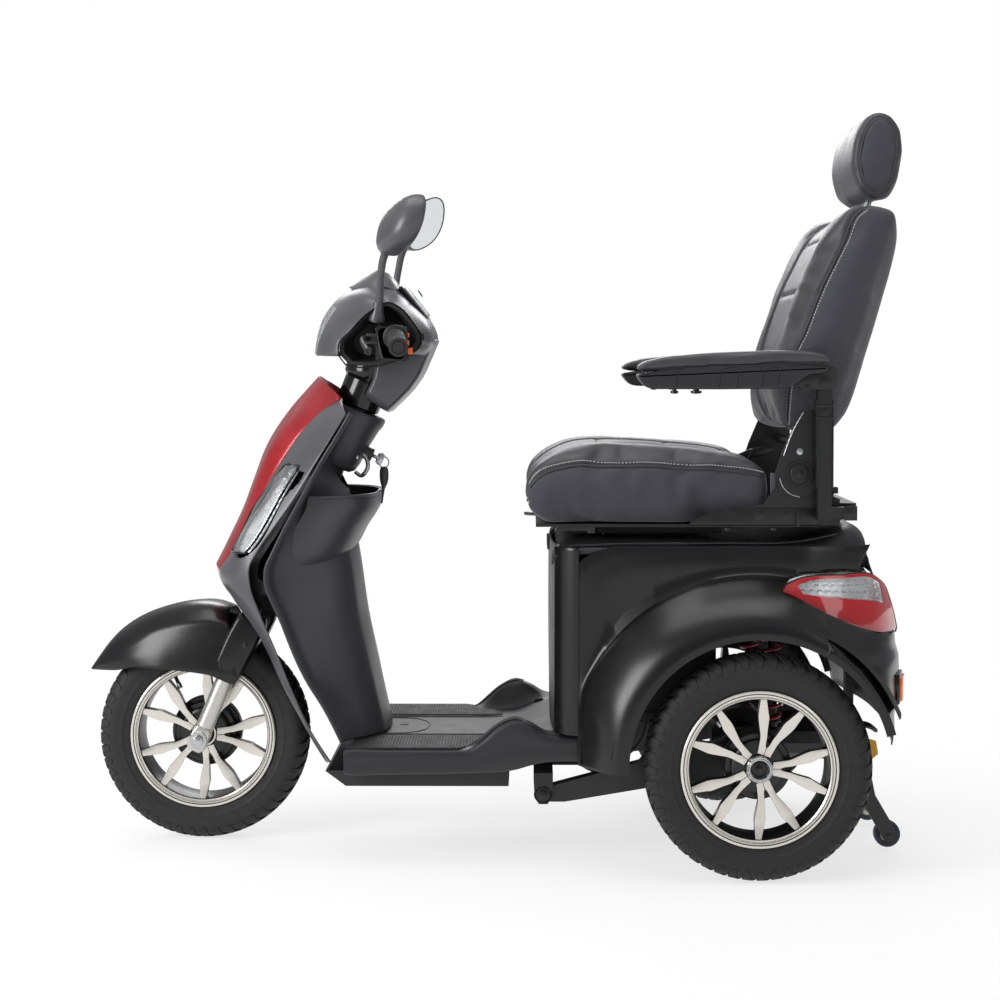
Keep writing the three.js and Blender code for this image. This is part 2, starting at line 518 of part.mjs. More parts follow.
// ---- Floor and rear body ----
function floor() {
  const sill = plate([[262, FLOOR_Z], [-62, FLOOR_Z], [-112, 240], [-204, 240], [-204, 194], [-130, 194], [-62, 176],
    [262, 169]], -FLOOR_HALF, FLOOR_HALF);
  const pocket = plate([[256, 210], [-64, 210], [-114, 234], [-210, 234], [-210, 100], [256, 100]], -222, 222);
  const humps = sides.map(([, side]) =>
    plate([[36, FLOOR_Z - 1], [-20, 258], [-56, 270], [-88, 258], [-114, 238], [-60, 212]], ...span(side, 168, FLOOR_HALF)));
  const tubeWay = box(205, 300, -21, 21, 100, 260);
  part("floorboard", join(cut(sill, pocket, tubeWay), ...humps), BLACK_PLASTIC);
  part("floor_mat", box(-46, 176, -150, 150, FLOOR_Z + GAP, FLOOR_Z + 4), RUBBER);
  const pan = plate([[300, 168], [262, 140], [-40, 140], [-40, 143], [260, 143], [296, 168]], -186, 186);
  const walls = sides.map(([, side]) => plate([[296, 168], [262, 141], [-40, 141], [-40, 168]], ...span(side, 183, 186)));
  part("belly_pan", join(pan, ...walls), BLACK_PLASTIC);
}

/** A point of the rear side, from the wheel's centre: angle from forward, radius, y. */
const round = (degrees, r, y) => {
  const a = (Math.PI / 180) * degrees;
  return [REAR_AXLE_X + r * Math.cos(a), y, TYRE_R + r * Math.sin(a)];
};
/** The body narrows towards the tail above the wheel arch. */
const narrow = (x, y, z) => y - 46 * Math.max(0, (-560 - x) / 130) ** 1.4 * Math.min(1, Math.max(0, (z - 420) / 60));
const SIDE_TOP = 590;
const SIDE_FRONT = -166;

const LAMP = [
  [[-525, 266, 516], [-525, 266, 512]], [[-566, 262, 536], [-613, 270, 470]],
  [[-698, 216, 540], [-706, 232, 434]], [[-740, 166, 506], [-762, 150, 430]],
];
const lampPoints = (side, grow) => {
  const middle = [-645, 220, 482];
  return LAMP.map((row) => row.map((p) => {
    const q = p.map((v, i) => middle[i] + (v - middle[i]) * grow);
    return [q[0], side * q[1], q[2]];
  }));
};

function rearBody() {
  for (const [name, side] of sides) {
    const lampRoom = panel(lampPoints(side, 1.03), 40, [-500, 0, 450], 20);
    const stations = [3, 14, 26, 38, 50, 62, 74, 86, 98, 109, 117.9];
    const grid = stations.map((degrees) => {
      const a = (Math.PI / 180) * degrees;
      const toFront = (SIDE_FRONT - REAR_AXLE_X) / Math.max(Math.cos(a), 1e-6);
      const toTop = (SIDE_TOP - TYRE_R) / Math.max(Math.sin(a), 1e-6);
      const edge = Math.min(toFront, toTop);
      const crease = Math.min(333, edge - 6);
      return [round(degrees, 241, 343), round(degrees, 262, 342), round(degrees, (crease + 250) / 2 + 4, 318),
        round(degrees, crease, 256), round(degrees, edge, 248)].map(([x, y, z]) => [x, side * narrow(x, y, z), z]);
    });
    const seam = box(-800, -606 + GAP, ...span(side, 0, 400), 0, 500);
    part(`rear_side_${name}`, cut(panel(grid, SKIN, [-486, 0, 300]), lampRoom, seam), GREY_PLASTIC);
    part(`tail_lamp_${name}`, panel(lampPoints(side, 0.99), 22, [-500, 0, 450], 3), RED_LENS);
  }
  const front = [DECK_Z - 4, 480, 360, 243].map((z) =>
    bothSides([[-118, 0, z], [-122, 110, z], [-136, 190, z], [SIDE_FRONT + 1, 243, z]]));
  deck(panel(front, SKIN, [-400, 0, 400]));
  bumper();
}

function deck(frontPanel) {
  const rows = [[-120, 578, 562, 240], [-150, 594, 580, 240], [-230, DECK_Z, 588, 240], [-420, DECK_Z, 592, 240],
    [-560, DECK_Z + 4, 594, 240], [-640, 622, 594, 214], [-690, 626, 594, 190], [-704, 590, 584, 180]].map(
    ([x, z, edge, y]) => bothSides([[x, 0, z], [x + 2, y * 0.5, z], [x + 6, y * 0.8, z * 0.7 + edge * 0.3],
      [x + 10, y, edge]]));
  const room = box(SEAT_X - 90, SEAT_X + 90, -90, 90, 500, 700);
  part("rear_deck", join(cut(panel(rows, SKIN, [-400, 0, 300]), room), frontPanel), BLACK_PLASTIC);
}

// Rows of the bumper from its top down: height, then x and y from the middle to the side edge.
const BUMPER = [
  [536, [-716, 0], [-714, 90], [-706, 150], [-696, 184], [-690, 194]],
  [470, [-752, 0], [-750, 110], [-730, 186], [-680, 250], [-607, 284]],
  [420, [-768, 0], [-767, 110], [-744, 194], [-690, 268], [-607, 336]],
  [368, [-774, 0], [-773, 110], [-752, 200], [-712, 270], [-672, 338]],
  [310, [-772, 0], [-771, 110], [-754, 200], [-728, 268], [-709, 338]],
  [262, [-764, 0], [-763, 110], [-750, 200], [-734, 262], [-720, 330]],
];

function bumper() {
  const rows = BUMPER.map(([z, ...plan]) => bothSides(plan.map(([x, y]) => [x, y, z])));
  const lampRooms = sides.map(([, side]) => panel(lampPoints(side, 1.03), 50, [-500, 0, 450], 40));
  part("rear_bumper", cut(panel(rows, SKIN, [-486, 0, 400]), ...lampRooms, box(-606 - GAP, 0, -400, 400, 0, 700)),
    GREY_PLASTIC);
}

// ---- Seat ----
const CUSHION = [[-58, 690], [-62, 650], [-84, 631], [-378, 631], [-382, 638], [-524, 638], [-524, 734], [-430, 748], [-300, 758], [-170, 763],
  [-104, 756], [-70, 730]];
const BACKREST = [[-534, 807], [-549, 944], [-588, 1064], [-640, 1176], [-665, 1218], [-742, 1210], [-756, 1204],
  [-706, 1011], [-668, 887], [-635, 786], [-560, 790]];
const HEADREST = [[-722, 1226], [-752, 1228], [-772, 1290], [-776, 1350], [-758, 1386], [-730, 1396], [-706, 1384],
  [-688, 1350], [-680, 1300], [-692, 1248]];
const POST_LEAN = (Math.PI / 180) * 10;

/** A side outline made narrower toward both of its sides, so that its edges are rounded. */
const cushionSolid = (outline, half, edge, shrinkTo) =>
  loft([-half, -half + edge, half - edge, half].map((y) =>
    shrink({ y, outline }, Math.abs(y) === half ? shrinkTo : 1, 1)));

function seatBase() {
  const swivel = join(bar([SEAT_X, 0, 598.6], [SEAT_X, 0, 608], 84),
    ...sides.map(([, side]) => box(-440, -160, ...span(side, 96, 120), 604, 612)), box(-400, -200, -100, 100, 604, 610));
  part("swivel_plate", swivel, FRAME_PAINT);
  const lever = join(bar([-196, 158, 608], [-196, 158, 620], 9), box(-196, -128, 153, 163, 612, 619));
  part("seat_lever", lever, BLACK_PLASTIC);
  const pan = box(-384, -90, -200, 200, 622.6, 628);
  const step = box(-400, -384, -200, 200, 622.6, 636);
  const shoes = sides.map(([, side]) => box(-440, -140, ...span(side, 96, 120), 612 + GAP, 623));
  const wings = box(-624, -387, -249, 249, 630, 636);
  const brackets = sides.map(([, side]) => plate([[-387, 630], [-440, 656], [-500, 668], [-524, 700], [-524, 724],
    [-536, 753], [-565, 765], [-594, 753], [-606, 724], [-612, 690], [-624, 668], [-624, 630]],
  ...span(side, 243.5, 249)));
  const crossbar = cut(box(-668, -624.5, -255, 255, 641, 671), box(-661, -633, -300, 300, 646, 666));
  const ties = sides.map(([, side]) => box(-640, -610, ...span(side, 200, 249), 630, 642));
  part("seat_frame", join(pan, step, wings, ...shoes, ...brackets, crossbar, ...ties), FRAME_PAINT);
  part("seat_cushion", cushionSolid(CUSHION, 240, 26, 0.9), VINYL);
}

function backrest() {
  const rodAt = (s, y) => [-712 - Math.sin(POST_LEAN) * s, y, 1170 + Math.cos(POST_LEAN) * s];
  const rods = [62, -62].map((y) => bar(rodAt(-90, y), rodAt(70, y), 6, 6, 12));
  const bores = [62, -62].map((y) => bar(rodAt(-96, y), rodAt(80, y), 6.5, 6.5, 12));
  part("backrest", cut(cushionSolid(BACKREST, 232, 22, 0.93), ...bores), VINYL);
  part("headrest", join(cushionSolid(HEADREST, 130, 24, 0.8), ...rods), VINYL);
  const wing = [[-530, 690], [-522, 724], [-534, 760], [-556, 812], [-580, 838], [-606, 840], [-622, 800],
    [-612, 740], [-600, 700], [-578, 682], [-552, 682]];
  const wings = sides.map(([, side]) => plate(wing, ...span(side, 249.5, 254.5)));
  const hubs = sides.map(([, side]) => bar([HINGE[0], side * 254, HINGE[1]], [HINGE[0], side * 259, HINGE[1]], 17));
  const crossTube = bar([-600, -251, 768], [-600, 251, 768], 9);
  part("backrest_frame", join(...wings, ...hubs, crossTube), FRAME_PAINT);
}

function armrests() {
  const [px, pz] = ARM_PIVOT;
  for (const [name, side] of sides) {
    const post = box(px - 12.5, px + 12.5, ...span(side, 262.5, 287.5), 642, 902);
    const foot = box(-660, px, ...span(side, 262.5, 287.5), 646.6, 665.4);
    const slider = box(-660, -634, ...span(side, 150, 265), 646.6, 665.4);
    const bolt = bar([px, side * 262, pz], [px, side * 288, pz], 7.6);
    part(`armrest_post_${name}`, cut(join(post, foot, slider), bolt), FRAME_PAINT);
    const body = plate([[-289, 878], [-265, 906], [-268, 914], [-335, 930], [-420, 939], [-505, 943], [-590, 942],
      [-616, 934], [-618, 922], [-575, 918], [-556, 890], [-545, 882], [-420, 876]], ...span(side, 244, 306));
    const ears = [[256, 261.5], [288.5, 294]].map(([a, b]) => plate([[px - 19, pz - 11], [px + 48, pz - 11],
      [px + 60, pz + 16], [px + 60, pz + 34], [px - 10, pz + 34], [px - 19, pz + 17]], ...span(side, a, b)));
    const pin = bar([px, side * 257, pz], [px, side * 293, pz], 7);
    part(`armrest_${name}`, join(body, ...ears, pin), VINYL);
  }
}

frontWheel();
rearWheels();
fork();
frontFender();
handlebar();
cowl();
mirrors();
fairing();
legShield();
ignition();
frame();
batteries();
swingArm();
antiTip();
floor();
rearBody();
seatBase();
backrest();
armrests();

export default scooter;
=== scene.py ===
# Looks of a three-wheeled mobility scooter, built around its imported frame. Metres, +X forward, +Y left, +Z up.
import sys

import json
import math

import bpy
import numpy as np
from mathutils import Matrix, Vector, kdtree
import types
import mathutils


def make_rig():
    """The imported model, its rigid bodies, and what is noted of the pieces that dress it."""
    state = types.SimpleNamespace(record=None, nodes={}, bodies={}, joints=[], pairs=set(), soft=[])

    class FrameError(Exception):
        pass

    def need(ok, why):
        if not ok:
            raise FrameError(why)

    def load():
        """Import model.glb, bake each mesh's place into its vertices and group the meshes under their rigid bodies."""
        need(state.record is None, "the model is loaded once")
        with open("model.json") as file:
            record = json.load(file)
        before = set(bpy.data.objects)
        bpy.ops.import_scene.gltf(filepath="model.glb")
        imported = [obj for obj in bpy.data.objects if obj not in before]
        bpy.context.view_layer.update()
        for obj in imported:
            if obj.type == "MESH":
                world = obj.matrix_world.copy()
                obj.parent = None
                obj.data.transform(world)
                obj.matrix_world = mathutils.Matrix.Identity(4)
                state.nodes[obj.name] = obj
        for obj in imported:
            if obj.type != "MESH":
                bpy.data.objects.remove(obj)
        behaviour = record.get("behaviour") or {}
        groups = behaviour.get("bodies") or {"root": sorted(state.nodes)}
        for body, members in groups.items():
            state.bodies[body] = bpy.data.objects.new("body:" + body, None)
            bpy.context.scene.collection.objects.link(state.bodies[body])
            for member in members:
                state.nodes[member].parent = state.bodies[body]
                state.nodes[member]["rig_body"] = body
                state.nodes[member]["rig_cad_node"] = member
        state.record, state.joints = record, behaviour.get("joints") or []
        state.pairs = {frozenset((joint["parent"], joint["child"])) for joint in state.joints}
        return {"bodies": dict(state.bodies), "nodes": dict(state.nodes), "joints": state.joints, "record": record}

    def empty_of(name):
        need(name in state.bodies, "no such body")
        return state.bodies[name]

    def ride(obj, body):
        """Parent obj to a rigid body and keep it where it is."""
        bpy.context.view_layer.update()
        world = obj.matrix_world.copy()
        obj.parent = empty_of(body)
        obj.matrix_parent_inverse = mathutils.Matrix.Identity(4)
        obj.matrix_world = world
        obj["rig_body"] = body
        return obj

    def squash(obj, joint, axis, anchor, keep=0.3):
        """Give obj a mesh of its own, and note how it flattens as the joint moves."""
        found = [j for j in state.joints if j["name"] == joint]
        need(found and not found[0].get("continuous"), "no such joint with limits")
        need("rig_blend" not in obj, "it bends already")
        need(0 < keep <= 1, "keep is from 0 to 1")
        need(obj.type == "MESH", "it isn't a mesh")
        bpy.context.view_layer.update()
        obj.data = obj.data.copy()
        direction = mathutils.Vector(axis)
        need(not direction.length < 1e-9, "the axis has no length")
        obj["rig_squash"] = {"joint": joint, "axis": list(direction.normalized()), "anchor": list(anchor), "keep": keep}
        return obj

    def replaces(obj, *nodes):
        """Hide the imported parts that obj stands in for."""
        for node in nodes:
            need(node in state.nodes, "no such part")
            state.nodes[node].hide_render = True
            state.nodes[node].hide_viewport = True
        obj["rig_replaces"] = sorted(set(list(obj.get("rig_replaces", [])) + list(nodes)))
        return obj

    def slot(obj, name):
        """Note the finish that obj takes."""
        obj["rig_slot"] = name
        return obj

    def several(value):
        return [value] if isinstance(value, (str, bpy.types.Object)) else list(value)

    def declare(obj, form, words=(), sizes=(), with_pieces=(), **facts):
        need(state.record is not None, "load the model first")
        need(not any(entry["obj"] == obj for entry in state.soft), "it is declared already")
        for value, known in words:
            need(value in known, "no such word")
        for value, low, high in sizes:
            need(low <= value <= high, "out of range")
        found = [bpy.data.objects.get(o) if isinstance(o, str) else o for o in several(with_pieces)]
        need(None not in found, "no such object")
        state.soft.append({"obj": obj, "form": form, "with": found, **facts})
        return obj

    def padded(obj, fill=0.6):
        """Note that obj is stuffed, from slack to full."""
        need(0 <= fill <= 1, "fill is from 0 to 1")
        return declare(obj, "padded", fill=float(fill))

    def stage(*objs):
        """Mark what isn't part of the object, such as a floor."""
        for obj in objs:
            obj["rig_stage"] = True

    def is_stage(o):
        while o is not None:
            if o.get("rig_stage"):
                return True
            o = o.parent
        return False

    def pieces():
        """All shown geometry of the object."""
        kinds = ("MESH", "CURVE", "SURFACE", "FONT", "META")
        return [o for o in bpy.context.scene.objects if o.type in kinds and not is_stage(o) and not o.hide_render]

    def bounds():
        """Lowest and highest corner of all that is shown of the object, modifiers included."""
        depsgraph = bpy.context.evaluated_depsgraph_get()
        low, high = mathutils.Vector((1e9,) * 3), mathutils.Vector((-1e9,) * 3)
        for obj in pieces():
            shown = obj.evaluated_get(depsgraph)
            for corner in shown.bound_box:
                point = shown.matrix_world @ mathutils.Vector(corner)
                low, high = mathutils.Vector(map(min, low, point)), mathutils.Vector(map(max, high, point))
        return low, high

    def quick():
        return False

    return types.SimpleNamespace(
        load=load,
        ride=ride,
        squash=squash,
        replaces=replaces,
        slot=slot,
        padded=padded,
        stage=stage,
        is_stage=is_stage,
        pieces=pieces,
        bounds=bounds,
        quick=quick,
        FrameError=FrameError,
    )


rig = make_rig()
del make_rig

bl_info = {
    "name": "Mobility scooter",
    "version": (1, 0, 0),
    "blender": (4, 5, 0),
    "location": "View3D > Sidebar > Scooter",
    "description": "Builds the looks of a three-wheeled mobility scooter around its frame",
    "category": "Object",
}

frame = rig.load()
CAD_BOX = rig.bounds()

# ---- Places shared by several pieces, in millimetres ----
FRONT_AXLE = np.array([554.0, 0.0, 204.0])
REAR_AXLE = np.array([-486.0, 0.0, 204.0])
TRACK_HALF = 300.0
RAKE = math.radians(23)
UP_FORK = np.array([-math.sin(RAKE), 0.0, math.cos(RAKE)])
BEHIND_FORK = np.array([-math.cos(RAKE), 0.0, -math.sin(RAKE)])
LEG_Y = 66.0
HINGE = (-565.0, 724.0)
ARM_PIVOT = (-606.0, 889.0)
SIDES = (("left", 1.0), ("right", -1.0))
LAMP_MIDDLE = (200, 0, 990)

# Points inside the mouldings, which their panels face away from.
IN_FRONT_BODY = (300, 0, 500)
IN_HEAD = (200, 0, 980)
IN_REAR_BODY = (-500, 0, 450)
IN_REAR_ARCH = (-486, 0, 300)


def colour(text):
    """An sRGB hex value as the linear numbers that shaders use."""
    parts = [int(text[i : i + 2], 16) / 255 for i in (1, 3, 5)]
    return tuple(c / 12.92 if c <= 0.04045 else ((c + 0.055) / 1.055) ** 2.4 for c in parts)


def length(name, description, default):
    return bpy.props.FloatProperty(
        name=name, description=description, default=default, min=0.0, unit="LENGTH", precision=4
    )


def tint(name, description, default):
    return bpy.props.FloatVectorProperty(
        name=name, description=description, default=colour(default), subtype="COLOR", min=0.0, max=1.0
    )


class ScooterSizes(bpy.types.PropertyGroup):
    tread_pitches: bpy.props.IntProperty(
        name="Tread pitches", description="How often the tread pattern repeats round a tyre", default=48, min=12
    )
    panel_wall: length("Panel wall", "Thickness of the moulded body panels", 0.0035)
    mat_rib: length("Mat rib pitch", "Distance between the ribs of the floor mat", 0.0056)
    grip_rib: length("Grip rib pitch", "Distance between the ribs of the handlebar grips", 0.0075)
    stitch: length("Stitch length", "Length of one stitch with its gap", 0.0056)
    spring_wire: length("Spring wire", "Thickness of the wire of the rear springs", 0.0062)
    cushion_swell: length("Cushion swell", "How far a point of the cushions may rise under pressure", 0.024)


class ScooterColours(bpy.types.PropertyGroup):
    cover: tint("Front cover", "Paint of the front cover", "#9C0A18")
    # The body's dark grey default is partly painted light: the front panels drawn lighter than their black paint.
    body: tint("Body", "Paint of the body panels", "#434346")
    trim: tint("Trim", "Moulded plastic of the inner panels and the floor", "#1B1B1D")
    vinyl: tint("Seat leather", "Leatherette of the seat's front and top", "#37373A")
    cloth: tint("Seat sides", "Cloth of the seat's sides", "#35353D")
    stitching: tint("Stitching", "Thread of the seams", "#C9C6BF")
    alloy: tint("Alloy", "Machined faces of the wheels", "#D8D3CB")
    spring: tint("Springs", "Paint of the rear springs", "#A5121C")


# ---- Modelling ----
def deselect():
    if bpy.context.mode != "OBJECT":
        bpy.ops.object.mode_set(mode="OBJECT")
    bpy.ops.object.select_all(action="DESELECT")


def take(obj):
    """Makes one object the only selected and the active one."""
    deselect()
    obj.select_set(True)
    bpy.context.view_layer.objects.active = obj
    return obj


def added(name):
    """The primitive just added, named and with its place in its mesh."""
    obj = bpy.context.active_object
    obj.name = name
    obj.data.name = name
    bpy.ops.object.transform_apply(location=True, rotation=True, scale=True)
    return obj


def modify(obj, kind, **settings):
    """Adds a modifier with its settings and applies it."""
    take(obj)
    made = obj.modifiers.new(kind.title(), kind)
    for key, value in settings.items():
        setattr(made, key, value)
    bpy.ops.object.modifier_apply(modifier=made.name)
    return obj


def in_edit(obj, *steps):
    """Runs edit-mode steps on the whole of an object."""
    take(obj)
    bpy.ops.object.mode_set(mode="EDIT")
    bpy.ops.mesh.select_all(action="SELECT")
    for step in steps:
        step()
    bpy.ops.object.mode_set(mode="OBJECT")
    return obj


def closed_and_out(obj, merge=1e-6):
    return in_edit(
        obj,
        lambda: bpy.ops.mesh.remove_doubles(threshold=merge),
        lambda: bpy.ops.mesh.normals_make_consistent(inside=False),
    )


def rounded(obj, width, segments=2, angle=35):
    """Rounds the edges that are sharper than the angle; the width is in millimetres."""
    return modify(
        obj, "BEVEL", width=width / 1000, segments=segments, limit_method="ANGLE", angle_limit=math.radians(angle),
        harden_normals=False,
    )


def carve(obj, *cutters):
    """Cuts other objects out of one, and removes them."""
    for cutter in cutters:
        modify(obj, "BOOLEAN", operation="DIFFERENCE", solver="EXACT", object=cutter)
        bpy.data.objects.remove(cutter, do_unlink=True)
    return obj


def named(obj, name):
    """Gives an object and its mesh one name."""
    obj.name = obj.data.name = name
    return obj


def joined(first, *rest):
    take(first)
    for other in rest:
        other.select_set(True)
    if rest:
        bpy.ops.object.join()
    return first


def repeated(obj, matrices):
    """The object once at each matrix, each copy with its own mesh, joined into one."""
    copies = []
    for matrix in matrices:
        copy = obj.copy()
        copy.data = obj.data.copy()
        bpy.context.collection.objects.link(copy)
        copy.data.transform(matrix)
        copies.append(copy)
    name = obj.name
    bpy.data.objects.remove(obj, do_unlink=True)
    joined(*copies)
    copies[0].name = copies[0].data.name = name
    return copies[0]


def turned_about(centre, axis, angle):
    """A turn about a line through a point in millimetres; the angle is in degrees."""
    at = Vector(centre) / 1000
    return Matrix.Translation(at) @ Matrix.Rotation(math.radians(angle), 4, Vector(axis)) @ Matrix.Translation(-at)


def spline(points, steps=6, sharp=(), closed=False):
    """A smooth curve through points, with corners at the sharp indices."""
    p = np.asarray(points, float)
    if closed:
        p = np.vstack([p, p[:1]])
    n = len(p)
    h = np.maximum(np.linalg.norm(np.diff(p, axis=0), axis=1), 1e-9)
    s = np.diff(p, axis=0) / h[:, None]
    smooth = {}
    for i in range(n):
        if i in sharp or (not closed and i in (0, n - 1)):
            continue
        before, after = (i - 1) % (n - 1), i % (n - 1)
        smooth[i] = (h[before] * s[after] + h[after] * s[before]) / (h[before] + h[after])
    out = []
    for i in range(n - 1):
        a, b = smooth.get(i), smooth.get(i + 1)
        if a is None and b is None:
            a = b = s[i]
        elif a is None:
            a = 1.5 * s[i] - 0.5 * b
        elif b is None:
            b = 1.5 * s[i] - 0.5 * a
        for k in range(steps):
            t = k / steps
            out.append(
                (2 * t**3 - 3 * t**2 + 1) * p[i] + (t**3 - 2 * t**2 + t) * h[i] * a
                + (-2 * t**3 + 3 * t**2) * p[i + 1] + (t**3 - t**2) * h[i] * b
            )
    if not closed:
        out.append(p[-1])
    return np.array(out)


def surface(rows, u_steps=6, v_steps=6, sharp_rows=(), sharp_columns=(), closed=False):
    """A dense grid of points through rows of points; rows may close on themselves."""
    dense = np.array([spline(row, v_steps, sharp_columns, closed) for row in rows])
    return np.stack([spline(dense[:, c], u_steps, sharp_rows) for c in range(dense.shape[1])], 1)


def mesh_of(name, points, faces):
    data = bpy.data.meshes.new(name)
    data.from_pydata((np.asarray(points, float) / 1000).tolist(), [], faces)
    data.update()
    obj = bpy.data.objects.new(name, data)
    bpy.context.collection.objects.link(obj)
    return obj


def sheet(name, grid):
    """A primitive grid laid over a dense grid of points."""
    rows, columns = grid.shape[:2]
    deselect()
    bpy.ops.mesh.primitive_grid_add(x_subdivisions=columns - 1, y_subdivisions=rows - 1, size=1)
    obj = added(name)
    flat = np.empty(len(obj.data.vertices) * 3)
    obj.data.vertices.foreach_get("co", flat)
    flat = flat.reshape(-1, 3)
    i = np.rint((flat[:, 1] + 0.5) * (rows - 1)).astype(int)
    j = np.rint((flat[:, 0] + 0.5) * (columns - 1)).astype(int)
    obj.data.vertices.foreach_set("co", (grid[i, j] / 1000).ravel())
    obj.data.update()
    return obj


def facing_out(obj, inside):
    """Turns a sheet so that its faces look away from a point inside."""
    inside = Vector(inside) / 1000
    if sum((f.center - inside).normalized().dot(f.normal) * f.area for f in obj.data.polygons) < 0:
        obj.data.flip_normals()
    return obj


def panel(name, rows, inside, wall=None, steps=(6, 6), sharp=((), ()), edge=1.0, grid=None):
    """A moulded panel through rows of points, its wall on the side of the inside point."""
    grid = surface(rows, steps[0], steps[1], *sharp) if grid is None else grid
    obj = facing_out(sheet(name, grid), inside)
    wall = bpy.context.scene.scooter_sizes.panel_wall if wall is None else wall / 1000
    modify(obj, "SOLIDIFY", thickness=wall, offset=-1, use_even_offset=False)
    if edge:
        rounded(obj, edge, 2, 50)
    return obj


def skinned(name, rings, caps=(True, True)):
    """A closed solid through rings of points."""
    rings = np.asarray(rings, float)
    k, n = rings.shape[:2]
    faces = [
        (r * n + i, r * n + (i + 1) % n, (r + 1) * n + (i + 1) % n, (r + 1) * n + i)
        for r in range(k - 1) for i in range(n)
    ]
    faces += [tuple(range(n))] * caps[0] + [tuple(range((k - 1) * n, k * n))] * caps[1]
    return closed_and_out(mesh_of(name, rings.reshape(-1, 3), faces), 1e-7)


def rod(name, points, radius, steps=6, sides=4, caps=True, closed=False, taper=None):
    """A round bar along a smooth curve; the taper gives a share of the radius at each point."""
    path = spline(points, steps, closed=closed)
    data = bpy.data.curves.new(name, "CURVE")
    data.dimensions = "3D"
    data.bevel_depth = radius / 1000
    data.bevel_resolution = sides
    data.use_fill_caps = caps
    line = data.splines.new("POLY")
    line.points.add(len(path) - 1)
    line.points.foreach_set("co", np.hstack([path / 1000, np.ones((len(path), 1))]).ravel())
    line.use_cyclic_u = closed
    if taper is not None:
        shares = np.interp(np.linspace(0, 1, len(path)), np.linspace(0, 1, len(taper)), taper)
        line.points.foreach_set("radius", shares)
    obj = bpy.data.objects.new(name, data)
    bpy.context.collection.objects.link(obj)
    take(obj)
    bpy.ops.object.convert(target="MESH")
    return closed_and_out(bpy.context.active_object, 1e-7)


def toward(axis):
    return Vector(axis).to_track_quat("Z", "Y").to_euler()


def pin(name, start, end, radius, sides=24, edge=0.0, segments=2):
    """A round or many-sided bar between two points, its ends rounded over by the edge."""
    a, b = Vector(start) / 1000, Vector(end) / 1000
    deselect()
    bpy.ops.mesh.primitive_cylinder_add(
        vertices=sides, radius=radius / 1000, depth=(b - a).length, location=(a + b) / 2, rotation=toward(b - a)
    )
    obj = added(name)
    return rounded(obj, edge, segments, 60) if edge else obj


def block(name, low, high, edge=1.0, segments=2, turn=None):
    """A box with rounded edges, turned about its middle by (axis, degrees) if asked."""
    low, high = Vector(low) / 1000, Vector(high) / 1000
    deselect()
    bpy.ops.mesh.primitive_cube_add(size=1, location=(low + high) / 2)
    bpy.context.active_object.scale = high - low
    obj = added(name)
    if edge:
        rounded(obj, edge, segments, 60)
    if turn:
        obj.data.transform(turned_about((low + high) * 500, turn[0], turn[1]))
    return obj


def turned(name, profile, centre, axis=(0, 1, 0), steps=64, closed=True):
    """A (radius, along) profile spun about an axis through a point."""
    away = Vector(axis).normalized()
    side = away.orthogonal().normalized()
    at = Vector(centre)
    points = [tuple(at + side * r + away * a) for r, a in profile]
    n = len(points)
    data = bpy.data.meshes.new(name)
    edges = [(i, i + 1) for i in range(n - 1)] + ([(n - 1, 0)] if closed else [])
    data.from_pydata([tuple(Vector(p) / 1000) for p in points], edges, [])
    obj = bpy.data.objects.new(name, data)
    bpy.context.collection.objects.link(obj)
    in_edit(
        obj,
        lambda: bpy.ops.mesh.spin(steps=steps, angle=2 * math.pi, center=at / 1000, axis=away),
        lambda: bpy.ops.mesh.select_all(action="SELECT"),
    )
    return closed_and_out(obj, 1e-5)


def plate(name, outline, y0, y1, edge=1.0, segments=2):
    """A side outline of (x, z) points, cut from plate that runs from y0 to y1."""
    obj = mesh_of(name, [(x, y0, z) for x, z in outline], [tuple(range(len(outline)))])
    in_edit(obj, lambda: bpy.ops.mesh.extrude_region_move(TRANSFORM_OT_translate={"value": (0, (y1 - y0) / 1000, 0)}))
    closed_and_out(obj, 1e-7)
    return rounded(obj, edge, segments, 50) if edge else obj


def span(side, near, far):
    return (near, far) if side > 0 else (-far, -near)


def sided(side, low, high):
    """Two corners of a block, their y given as distances from the middle on one side."""
    near, far = span(side, low[1], high[1])
    return (low[0], near, low[2]), (high[0], far, high[2])


def on_side(points, side):
    return [(x, side * y, z) for x, y, z in points]


def both_sides(half):
    """A half row of points from the middle outwards, as a full row from right to left."""
    start = 1 if half[0][1] == 0 else 0
    return [(x, -y, z) for x, y, z in half[start:][::-1]] + [tuple(p) for p in half]


def on_leg(t, y=0.0):
    return FRONT_AXLE + UP_FORK * t + np.array([0.0, y, 0.0])


def on_stem(t, y=0.0):
    return on_leg(t, y) + BEHIND_FORK * 25


def bolt(name, at, axis, radius, height, washer=True):
    """A hex nut or bolt head on a washer, standing out along the axis."""
    at, axis = np.asarray(at, float), np.asarray(axis, float)
    head = pin(name, at + axis * (1.2 if washer else 0), at + axis * height, radius, 6, radius * 0.12)
    parts = [
        head,
        pin(name + "_end", at + axis * (height - 0.5), at + axis * (height + radius * 0.25), radius * 0.5, 16, 0.4)
    ]
    if washer:
        parts.append(pin(name + "_washer", at, at + axis * 1.2, radius * 1.35, 24, 0.3))
    return joined(*parts)


def dress(obj, body, finish=None, slot=None, replaces=(), smooth=30):
    """Smooths a piece, gives it its finish, or the one of that name, and fixes it to the frame."""
    if finish is not None:
        obj.data.materials.clear()
        obj.data.materials.append(finish_of(finish) if isinstance(finish, str) else finish)
    take(obj)
    bpy.ops.object.shade_smooth_by_angle(angle=math.radians(smooth))
    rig.ride(obj, body)
    if slot:
        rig.slot(obj, slot)
    if replaces:
        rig.replaces(obj, *replaces)
    return obj


